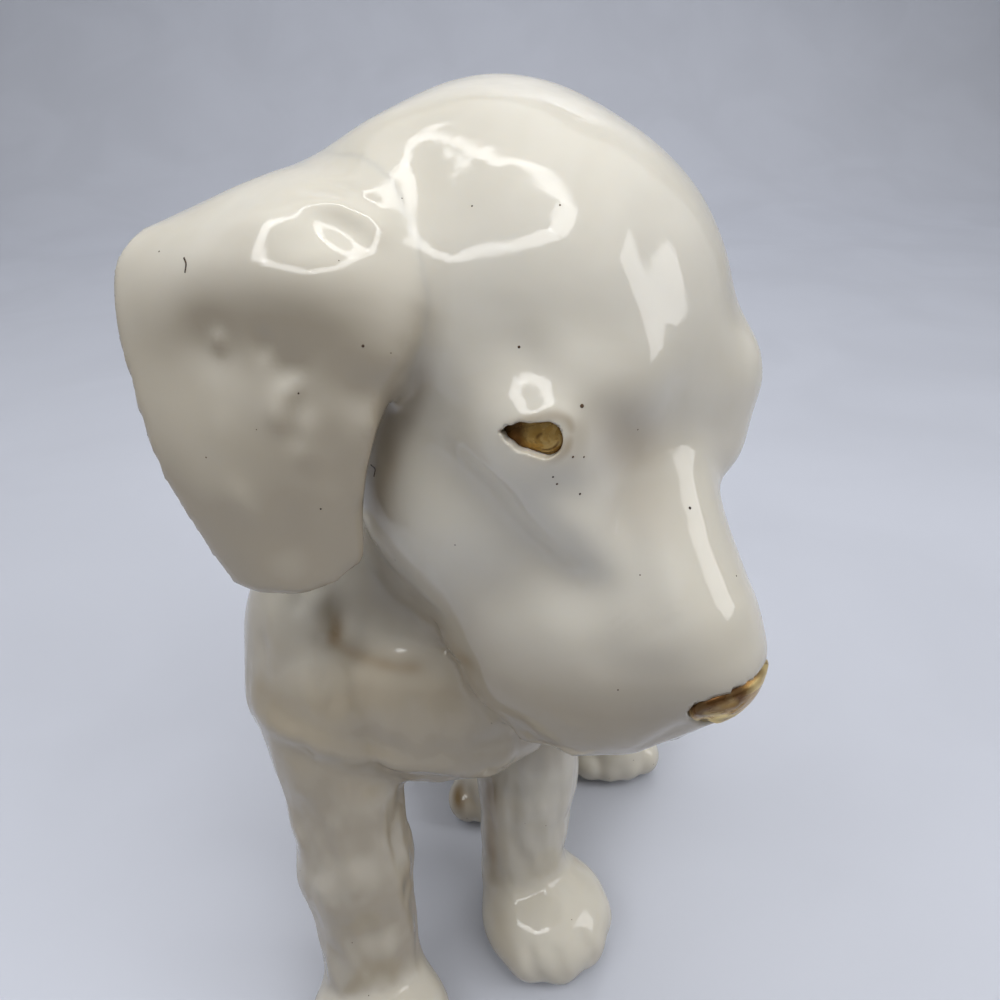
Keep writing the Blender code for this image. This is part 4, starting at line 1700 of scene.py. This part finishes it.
@dataclass
class Specks:
    """Dark specks of iron in the glaze, scattered and also where the photographer saw them.

    Attributes:
        seen: Their places in the camera's frame, with their radii in millimetres.
        hairs: Fine hairs burnt into the glaze, as paths in the camera's frame.
        scattered: How many more there are on each piece.
        sizes: The least and the greatest radius of the scattered ones.
    """

    seen: tuple[Triple, ...] = (
        (582, 406, 0.26), (519, 347, 0.18), (573, 457, 0.16), (584, 457, 0.14), (553, 477, 0.14),
        (557, 484, 0.16), (580, 494, 0.16), (363, 346, 0.18), (690, 508, 0.22), (472, 206, 0.12),
        (640, 575, 0.1), (455, 545, 0.1), (618, 690, 0.12), (395, 560, 0.1), (560, 205, 0.12),
    )
    hairs: tuple[tuple[tuple[float, float], ...], ...] = (
        ((184, 258), (186, 264), (185, 272)),
        ((371, 465), (375, 469), (374, 476)),
    )
    scattered: int = 14
    hair: float = 0.13
    sizes: tuple[float, float] = (0.07, 0.13)
    tries: int = 40000

    def tree(self) -> tuple[Tree, dict[str, str]]:
        """Builds the Geometry Nodes tree that sets a flat bead on every point.

        Returns:
            The tree, and its inputs' identifiers by name.
        """
        tree = bpy.data.node_groups.new("specks", "GeometryNodeTree")
        group_sockets(tree, "INPUT", Geometry="Geometry", Flatness="Float", Material="Material")
        group_sockets(tree, "OUTPUT", Geometry="Geometry")
        names = {
            item.name: item.identifier
            for item in tree.interface.items_tree
            if item.in_out == "INPUT"
        }
        entry = tree.nodes.new("NodeGroupInput").outputs
        named = "GeometryNodeInputNamedAttribute"
        bead = add_node(tree, "GeometryNodeMeshIcoSphere", Radius=MM, Subdivisions=2)
        way = add_node(tree, named, {"data_type": "FLOAT_VECTOR"}, Name="out")
        size = add_node(tree, named, Name="radius_mm").outputs["Attribute"]
        turn = add_node(
            tree, "FunctionNodeAlignRotationToVector", {"axis": "Z"},
            Vector=way.outputs["Attribute"],
        )
        flat = maths(tree, "MULTIPLY", size, entry["Flatness"])
        scale = add_node(tree, "ShaderNodeCombineXYZ", X=size, Y=size, Z=flat)
        spread = add_node(
            tree, "GeometryNodeInstanceOnPoints", Points=entry["Geometry"],
            Instance=bead.outputs["Mesh"], Rotation=turn.outputs["Rotation"],
            Scale=scale.outputs["Vector"],
        )
        real = add_node(tree, "GeometryNodeRealizeInstances", Geometry=spread.outputs["Instances"])
        dress = add_node(
            tree, "GeometryNodeSetMaterial", Geometry=real.outputs["Geometry"],
            Material=entry["Material"],
        )
        add_node(tree, "NodeGroupOutput", Geometry=dress.outputs["Geometry"])
        return tree, names

    def places(self, porcelain: Porcelain) -> tuple[Array, Array, Array]:
        """Chooses where the specks are.

        Args:
            porcelain: The figure that carries them.

        Returns:
            Their places, radii and castings' numbers.
        """
        surface = porcelain.surface
        found = [(VIEW.struck(surface, [(x, y)]), radius) for x, y, radius in self.seen]
        found += [(smooth_path(VIEW.struck(surface, path), 14), self.hair) for path in self.hairs]
        spots = [spot for places, _ in found for spot in places]
        radii = [radius for places, radius in found for _ in places]
        random = np.random.default_rng(11)
        loose = random.uniform(surface.low, surface.top(), (self.tries, 3))
        loose = loose[np.abs(surface.sample(loose)) < 0.8]
        for _ in range(4):
            loose = surface.settled(loose)
        loose = loose[loose[:, 2] > 3]
        label = porcelain.divide(loose)
        for number in range(len(Casting)):
            chosen = loose[label == number][: self.scattered]
            spots += list(chosen)
            radii += list(random.uniform(*self.sizes, len(chosen)))
        return np.array(spots), np.array(radii), porcelain.divide(np.array(spots))

    def build(self, porcelain: Porcelain) -> dict[Casting, Object]:
        """Makes the specks of each casting.

        Args:
            porcelain: The figure that carries them.

        Returns:
            One object for each casting that has specks.
        """
        spots, radii, label = self.places(porcelain)
        ways = porcelain.surface.slope(spots)
        tree, names = self.tree()
        recipe = Recipe("iron_speck")
        tone = recipe.group(Mottle().group(), Scale=900.0, From=0.4, To=0.6)
        colour = recipe.mix(tone.outputs["Mask"], (0.035, 0.02, 0.012), (0.09, 0.05, 0.025))
        recipe.set(Base_Color=colour, Roughness=0.15)
        result = {}
        for number, casting in enumerate(Casting):
            own = label == number
            if not own.any():
                continue
            obj = moulded(casting.value + "_specks", spots[own])
            out = obj.data.attributes.new("out", "FLOAT_VECTOR", "POINT")
            out.data.foreach_set("vector", ways[own].ravel())
            paint(obj, "radius_mm", radii[own])
            nodes = obj.modifiers.new("Specks", "NODES")
            nodes.node_group = tree
            nodes[names["Flatness"]] = 0.3
            nodes[names["Material"]] = recipe.material
            obj.data = baked(obj)
            obj.modifiers.clear()
            obj.data.shade_smooth()
            result[casting] = obj
        return result


def group_sockets(tree: Tree, way: str, **kinds: str | float) -> None:
    """Adds sockets to a node group.

    Args:
        tree: The node group.
        way: INPUT or OUTPUT.
        kinds: Each socket's type by name, or the number that it has where nothing is linked.
    """
    for name, kind in kinds.items():
        plain = isinstance(kind, float)
        kind_name = "NodeSocketFloat" if plain else "NodeSocket" + kind
        socket = tree.interface.new_socket(name, in_out=way, socket_type=kind_name)
        if plain:
            socket.default_value = kind


def plug(socket: Socket, value: Socket | Triple | float | str) -> None:
    """Links an input to another node's output, or sets its value."""
    if isinstance(value, Socket):
        socket.id_data.links.new(value, socket)
    else:
        socket.default_value = value


def fill(node: Node, **values: Socket | Triple | float | str) -> Node:
    """Sets a node's inputs or links them, by their names with _ for a space."""
    for name, value in values.items():
        plug(node.inputs[name.replace("_", " ")], value)
    return node


def add_node(
    tree: Tree, kind: str, settings: dict[str, str | Tree] | None = None, **values: Socket | float
) -> Node:
    """Places a node.

    Args:
        tree: Where it is placed.
        kind: Its type.
        settings: Its own settings by name.
        values: What its inputs are set to or linked with.

    Returns:
        The node.
    """
    node = tree.nodes.new(kind)
    for name, value in (settings or {}).items():
        setattr(node, name, value)
    return fill(node, **values)


def maths(tree: Tree, operation: str, *values: Socket | float, clamp: bool = False) -> Socket:
    """Places a maths node.

    Args:
        tree: Where it is placed.
        operation: What it does, such as MULTIPLY.
        values: The sockets or numbers that it works on.
        clamp: Whether the result is kept from 0 to 1.

    Returns:
        The result.
    """
    node = add_node(tree, "ShaderNodeMath", {"operation": operation, "use_clamp": clamp})
    for socket, value in zip(node.inputs, values):
        plug(socket, value)
    return node.outputs[0]


@dataclass(frozen=True)
class Ripple:
    """A node group: the low waves and the fine dimples of a poured glaze."""

    name: str = "glaze_ripple"

    def group(self) -> Tree:
        """Builds the group, or finds it where it is built."""
        if self.name in bpy.data.node_groups:
            return bpy.data.node_groups[self.name]
        tree = bpy.data.node_groups.new(self.name, "ShaderNodeTree")
        group_sockets(tree, "INPUT", Place="Vector", Wave=1.0, Dimple=0.15)
        group_sockets(tree, "OUTPUT", Height="Float")
        entry = tree.nodes.new("NodeGroupInput").outputs
        heights = []
        for scale, source in ((130.0, "Wave"), (480.0, "Dimple")):
            noise = add_node(
                tree, "ShaderNodeTexNoise", Scale=scale, Detail=1.0, Vector=entry["Place"]
            )
            heights.append(maths(tree, "MULTIPLY", noise.outputs["Fac"], entry[source]))
        add_node(tree, "NodeGroupOutput", Height=maths(tree, "ADD", *heights))
        return tree


@dataclass(frozen=True)
class Mottle:
    """A node group: soft clouds of a second tone."""

    name: str = "mottle"

    def group(self) -> Tree:
        """Builds the group, or finds it where it is built."""
        if self.name in bpy.data.node_groups:
            return bpy.data.node_groups[self.name]
        tree = bpy.data.node_groups.new(self.name, "ShaderNodeTree")
        group_sockets(tree, "INPUT", Place="Vector", Scale=60.0, From=0.4, To=0.7)
        group_sockets(tree, "OUTPUT", Mask="Float")
        entry = tree.nodes.new("NodeGroupInput").outputs
        noise = add_node(
            tree, "ShaderNodeTexNoise", Detail=3.0, Distortion=0.6, Vector=entry["Place"],
            Scale=entry["Scale"],
        )
        edge = add_node(
            tree, "ShaderNodeMapRange", {"interpolation_type": "SMOOTHSTEP"},
            Value=noise.outputs["Fac"], From_Min=entry["From"], From_Max=entry["To"],
        )
        add_node(tree, "NodeGroupOutput", Mask=edge.outputs["Result"])
        return tree


@dataclass
class Recipe:
    """A material's nodes, with short ways to place and join them."""

    name: str
    material: Material = None

    def __post_init__(self) -> None:
        """Starts the material with its shader and its Object coordinates."""
        self.material = bpy.data.materials.new(self.name)
        self.material.use_nodes = True
        self.tree = self.material.node_tree
        self.shader = self.tree.nodes["Principled BSDF"]
        self.place = self.tree.nodes.new("ShaderNodeTexCoord").outputs["Object"]

    def set(self, **values: Socket | Triple | float) -> None:
        """Sets the shader's own sockets or links them, with _ for a space in their names."""
        fill(self.shader, **values)

    def streaks(self, turn: float, length: float) -> None:
        """Draws out all later patterns along the direction at this angle from X in degrees."""
        node = add_node(
            self.tree, "ShaderNodeMapping", {"vector_type": "TEXTURE"},
            Rotation=(0, 0, radians(turn)), Scale=(length, 1, 1), Vector=self.place,
        )
        self.place = node.outputs["Vector"]

    def group(self, tree: Tree, **values: float) -> Node:
        """Places a node group that reads the Object coordinates, with its inputs' values."""
        kind = "ShaderNodeGroup"
        return add_node(self.tree, kind, {"node_tree": tree}, Place=self.place, **values)

    def attribute(self, name: str, scale: float = 1.0) -> Socket:
        """Reads an attribute of the mesh, times a number."""
        node = add_node(self.tree, "ShaderNodeAttribute", {"attribute_name": name})
        return maths(self.tree, "MULTIPLY", node.outputs["Fac"], scale, clamp=True)

    def mix(
        self, factor: Socket, first: Socket | Triple | float, second: Socket | Triple | float
    ) -> Socket:
        """Mixes two colours or two numbers.

        Args:
            factor: How much of the second is in the mix.
            first: The first colour or number.
            second: The second colour or number.

        Returns:
            The mix.
        """
        plain = isinstance(second, float)
        node = add_node(self.tree, "ShaderNodeMix", {"data_type": "FLOAT" if plain else "RGBA"})
        names = (0, 2, 3, 0) if plain else (0, 6, 7, 2)
        for index, value in zip(names, (factor, first, second)):
            colour = isinstance(value, tuple)
            plug(node.inputs[index], (*value, 1.0) if colour else value)
        return node.outputs[names[3]]

    def bump(self, height: Socket, distance: float) -> None:
        """Bumps the surface by a height times a distance in metres."""
        node = add_node(self.tree, "ShaderNodeBump", Distance=distance, Height=height)
        self.set(Normal=node.outputs["Normal"])


@dataclass(frozen=True)
class Glaze:
    """A glossy ivory glaze over porcelain, bare where the figure stands.

    Attributes:
        ivory: Its colour.
        cream: The second tone of its clouds.
        thick: Painted shade, the glaze darker on steep and downward faces and under the head.
        pooled: Its colour in the hollows, where the glaze pools and shade is painted.
        stained: The colour of painted brown shade.
        biscuit: The colour of bare porcelain.
        roughness: How rough the glaze is where it is smoothest.
    """

    ivory: Triple = (0.745, 0.715, 0.635)
    cream: Triple = (0.70, 0.665, 0.575)
    thick: Triple = (0.405, 0.35, 0.265)
    pooled: Triple = (0.40, 0.31, 0.20)
    stained: Triple = (0.26, 0.17, 0.07)
    biscuit: Triple = (0.72, 0.67, 0.58)
    roughness: float = 0.07

    def material(self) -> Material:
        """Builds the material."""
        recipe = Recipe("ivory_glaze")
        recipe.set(IOR=1.5, Subsurface_Weight=0.2)
        recipe.set(Subsurface_Radius=(1.0, 0.8, 0.55), Subsurface_Scale=0.0022)
        clouds = recipe.group(Mottle().group(), Scale=38.0, From=0.38, To=0.66)
        colour = recipe.mix(clouds.outputs["Mask"], self.ivory, self.cream)
        # Painted shade on steep faces and under the head.
        colour = recipe.mix(recipe.attribute("thick"), colour, self.thick)
        # Pooled glaze and painted shade in the hollows.
        colour = recipe.mix(recipe.attribute("pooled", 0.3), colour, self.pooled)
        # Painted brown shade along the marks.
        colour = recipe.mix(recipe.attribute("stained"), colour, self.stained)
        bare = recipe.attribute("bare")
        recipe.set(Base_Color=recipe.mix(bare, colour, self.biscuit))
        satin = recipe.group(Mottle().group(), Scale=210.0, From=0.35, To=0.75)
        gloss = recipe.mix(satin.outputs["Mask"], self.roughness, 0.13)
        recipe.set(Roughness=recipe.mix(bare, gloss, 0.75))
        ripple = recipe.group(Ripple().group(), Wave=1.0, Dimple=0.1)
        recipe.bump(ripple.outputs["Height"], 0.00022)
        return recipe.material


@dataclass(frozen=True)
class Gilding:
    """Gold brushed on the glaze, worn to brown in places.

    Attributes:
        gold: Where it lies thick.
        straw: Where the brush left it thin and pale.
        deep: Painted shade on the gold where it lies in the hollow of an eye.
        umber: Where it has worn and darkened.
        brushed: The direction of the brush strokes, in degrees from X.
    """

    gold: Triple = (0.50, 0.31, 0.09)
    straw: Triple = (0.80, 0.63, 0.29)
    deep: Triple = (0.27, 0.14, 0.02)
    umber: Triple = (0.07, 0.022, 0.005)
    brushed: float = 29.6
    name: str = "worn_gilding"

    def material(self) -> Material:
        """Builds the material."""
        recipe = Recipe(self.name)
        recipe.set(Metallic=0.6, Specular_IOR_Level=0.2)
        recipe.streaks(self.brushed, 3.5)
        thin = recipe.group(Mottle().group(), Scale=420.0, From=0.42, To=0.62)
        colour = recipe.mix(thin.outputs["Mask"], self.gold, self.straw)
        # Painted shade on the eyes' gold, for the hollow that it lies in.
        colour = recipe.mix(recipe.attribute("deep"), colour, self.deep)
        worn = recipe.group(Mottle().group(), Scale=700.0, From=0.62, To=0.78)
        colour = recipe.mix(worn.outputs["Mask"], colour, self.umber)
        colour = recipe.mix(recipe.attribute("stained"), colour, self.umber)
        recipe.set(Base_Color=colour, Roughness=recipe.mix(thin.outputs["Mask"], 0.2, 0.42))
        ripple = recipe.group(Ripple().group(), Wave=0.4, Dimple=1.0)
        recipe.bump(ripple.outputs["Height"], 0.0002)
        return recipe.material


@dataclass(frozen=True)
class Lamp:
    """A soft lamp.

    Attributes:
        place: Where it hangs, in metres.
        aim: The place in millimetres that it points at.
        size: Its width and height in metres.
        power: Its power in watts.
        mirrored: Whether the glaze mirrors it.
    """

    name: str
    place: Triple
    aim: Triple
    size: tuple[float, float]
    power: float
    mirrored: bool = False


@dataclass
class Studio:
    """A curved paper backdrop, soft lamps and the room's own light.

    Attributes:
        paper: The colour of the backdrop.
        depth: How far behind the puppy it turns upwards, in metres.
        radius: The radius of that turn in metres.
        front: How far in front of the puppy it starts, in metres.
        gloom: The room's light where it is darkest.
        sky: Brighter parts of the room: the way to each, the first and last cosine of its edge, and
            its strength.
        window_middle: The place in millimetres round which the window's corners lie.
        window_corners: The azimuth and height of each corner in degrees, with the width of the
            strip that starts there in metres.
        window_distance: How far away the corners are, in metres.
        window_glow: The power of the strips in watts for each square metre.
        wall_glow: How bright the walls are to the camera.
        wall_sheen: How much of the walls the glaze mirrors.
    """

    paper: Triple = (0.60, 0.625, 0.70)
    depth: float = 0.75
    radius: float = 0.45
    half: float = 2.2
    front: float = 1.6
    height: float = 1.8
    lamps: tuple[Lamp, ...] = (
        Lamp("key", (0.38, -0.48, 0.95), (0, -70, 110), (0.55, 0.55), 1.75),
        Lamp("wash", (0.3, 0.75, 1.3), (100, 1100, 300), (1.2, 0.5), 6.5),
        Lamp("strip", (0.52, -0.25, 0.38), (10, -90, 140), (0.2, 0.36), 0.72, mirrored=True),
    )
    gloom: float = 0.015
    sky: tuple[tuple[Triple, float, float, float], ...] = (
        ((0, 0, 1), 0.15, 0.95, 0.44),
        ((0.5, 0.8, 0.33), 0.0, 1.0, 0.28),
    )
    window_middle: Triple = (-10, -85, 160)
    window_corners: tuple[Triple, ...] = (
        (-112, 57, 0.085), (-125, 66, 0.035), (-170, 78, 0.05), (55, 75, 0.075),
        (6, 63, 0.08), (-36, 47, 0.08), (-75, 39, 0.06),
    )
    window_distance: float = 0.55
    window_glow: float = 18.0
    wall_glow: float = 0.9
    wall_sheen: float = 0.35

    def build(self) -> None:
        """Hangs the paper and the lamps."""
        self.backdrop()
        for lamp in self.lamps:
            way = Vector(lamp.aim) * MM - Vector(lamp.place)
            turn = way.to_track_quat("-Z", "Y").to_matrix()
            obj = self.hang(lamp.name, Vector(lamp.place), turn, lamp.size, lamp.power)
            obj.visible_glossy = lamp.mirrored
        self.window()
        self.room()

    def backdrop(self) -> None:
        """Lays the paper on the floor and up behind the puppy in one sweep."""
        profile = [(-self.front, 0.0), (self.depth, 0.0)]
        for angle in np.radians(np.arange(7.5, 90.1, 7.5)):
            profile.append((self.depth + self.radius * sin(angle), self.radius * (1 - cos(angle))))
        profile.append((self.depth + self.radius, self.height))
        places = [(x, y, z) for y, z in profile for x in (-self.half, self.half)]
        faces = [(2 * i, 2 * i + 1, 2 * i + 3, 2 * i + 2) for i in range(len(profile) - 1)]
        mesh = bpy.data.meshes.new("backdrop")
        mesh.from_pydata(places, [], faces)
        mesh.shade_smooth()
        obj = put("backdrop", mesh)
        recipe = Recipe("backdrop_paper")
        fibre = recipe.group(Mottle().group(), Scale=9.0, From=0.3, To=0.7)
        shade = tuple(value * 0.95 for value in self.paper)
        colour = recipe.mix(fibre.outputs["Mask"], self.paper, shade)
        recipe.set(Base_Color=colour, Roughness=0.55)
        mesh.materials.append(recipe.material)

    def room(self) -> None:
        """Lights the room: bright overhead and behind, dark where the photographer stands."""
        world = bpy.data.worlds.new("room")
        bpy.context.scene.world = world
        world.use_nodes = True
        tree = world.node_tree
        place = tree.nodes.new("ShaderNodeTexCoord").outputs["Generated"]
        total = self.gloom
        for way, first, last, strength in self.sky:
            toward = add_node(tree, "ShaderNodeVectorMath", {"operation": "DOT_PRODUCT"})
            plug(toward.inputs[0], place)
            plug(toward.inputs[1], Vector(way).normalized())
            edge = add_node(
                tree, "ShaderNodeMapRange", {"interpolation_type": "SMOOTHSTEP"},
                Value=toward.outputs["Value"], From_Min=first, From_Max=last, To_Max=strength,
            )
            total = maths(tree, "ADD", edge.outputs["Result"], total)
        light = fill(tree.nodes["Background"], Color=(1.0, 1.0, 1.0, 1.0), Strength=total)
        paper = (*self.paper, 1.0)
        wall = add_node(tree, "ShaderNodeBackground", Color=paper, Strength=self.wall_glow)
        ray = tree.nodes.new("ShaderNodeLightPath").outputs
        glossy, seen = ray["Is Glossy Ray"], ray["Is Camera Ray"]
        shown = maths(tree, "MULTIPLY_ADD", glossy, self.wall_sheen, seen, clamp=True)
        choice = tree.nodes.new("ShaderNodeMixShader")
        for socket, source in zip(choice.inputs, (shown, light.outputs[0], wall.outputs[0])):
            plug(socket, source)
        fill(tree.nodes["World Output"], Surface=choice.outputs[0])

    def window(self) -> None:
        """Hangs bright strips round the sky, like the frame of a roof window."""
        middle = Vector(self.window_middle) * MM
        corners = [
            middle
            + self.window_distance
            * Vector((sin(az) * cos(el), -cos(az) * cos(el), sin(el)))
            for az, el in np.radians([corner[:2] for corner in self.window_corners])
        ]
        for number, (_, _, width) in enumerate(self.window_corners):
            start, end = corners[number], corners[(number + 1) % len(corners)]
            centre = (start + end) / 2
            back = (centre - middle).normalized()
            across = (end - start).normalized().cross(back).normalized()
            turn = Matrix((across, back.cross(across), back)).transposed()
            length = (end - start).length
            power = self.window_glow * width * length
            self.hang(f"window_{number}", centre, turn, (width, length), power)

    def hang(
        self, name: str, place: Vector, turn: Matrix, size: tuple[float, float], power: float
    ) -> Object:
        """Hangs a soft lamp.

        Args:
            name: The lamp's name.
            place: Where it hangs, in metres.
            turn: Its axes as the columns of a matrix, the last away from what it lights.
            size: Its width and height in metres.
            power: Its power in watts.

        Returns:
            The lamp.
        """
        data = bpy.data.lights.new(name, "AREA")
        data.shape = "RECTANGLE"
        data.size, data.size_y = size
        data.energy = power
        obj = put(name, data)
        obj.matrix_world = Matrix.Translation(place) @ turn.to_4x4()
        return obj


def main() -> None:
    """Builds the puppy and its surroundings."""
    logging.basicConfig(level=logging.INFO)
    bpy.context.scene.view_settings.view_transform = "Standard"
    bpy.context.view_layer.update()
    VIEW.camera()
    Studio().build()
    head = Head()
    ears = [
        Ear(Casting.RIGHT_EAR, -1, head.ear_standoffs[0]),
        Ear(Casting.LEFT_EAR, 1, head.ear_standoffs[1], drop=2.5),
    ]
    forelegs = [
        Foreleg(Casting.RIGHT_FRONT_LEG, (-35.8, -90.5, 14.0), (-2.2, 8.5, 66), 4.0),
        Foreleg(Casting.LEFT_FRONT_LEG, (-1.4, -72.5, 14.0), (2.4, 5.5, 62), 24.0),
    ]
    hind_feet = [
        HindFoot(Casting.LEFT_HIND_FOOT, (31.0, -36.5, 7.6), (-1.5, 24, 1)),
        HindFoot(Casting.RIGHT_HIND_FOOT, (-4.5, -45.0, 7.6), (-7, 26, 1)),
    ]
    pitch = 0.73
    eyes = [GiltEye("right_eye", -1, sunk=-0.35), GiltEye("left_eye", 1, sunk=1.1)]
    porcelain = Porcelain(head, ears, Torso(), forelegs, hind_feet, Tail(), pitch, eyes=eyes)
    porcelain.sculpt()
    glaze = Glaze().material()
    glazed = porcelain.pieces()
    for piece in glazed.values():
        piece.data.materials.append(glaze)
    for pieces in (glazed, Specks().build(porcelain)):
        for casting, piece in pieces.items():
            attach(piece, "root")
            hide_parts(casting.value)
            log.info("%s: %d faces", piece.name, len(piece.data.polygons))
    gilding = Gilding().material()
    gilt = {eye.node: eye.build(head, gilding, 0.12) for eye in eyes}
    gilt["nose"] = porcelain.nose.build(head, gilding)
    for node, piece in gilt.items():
        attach(piece, "root")
        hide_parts(node)
        log.info("%s: %d faces", piece.name, len(piece.data.polygons))


if __name__ == "__main__":
    main()
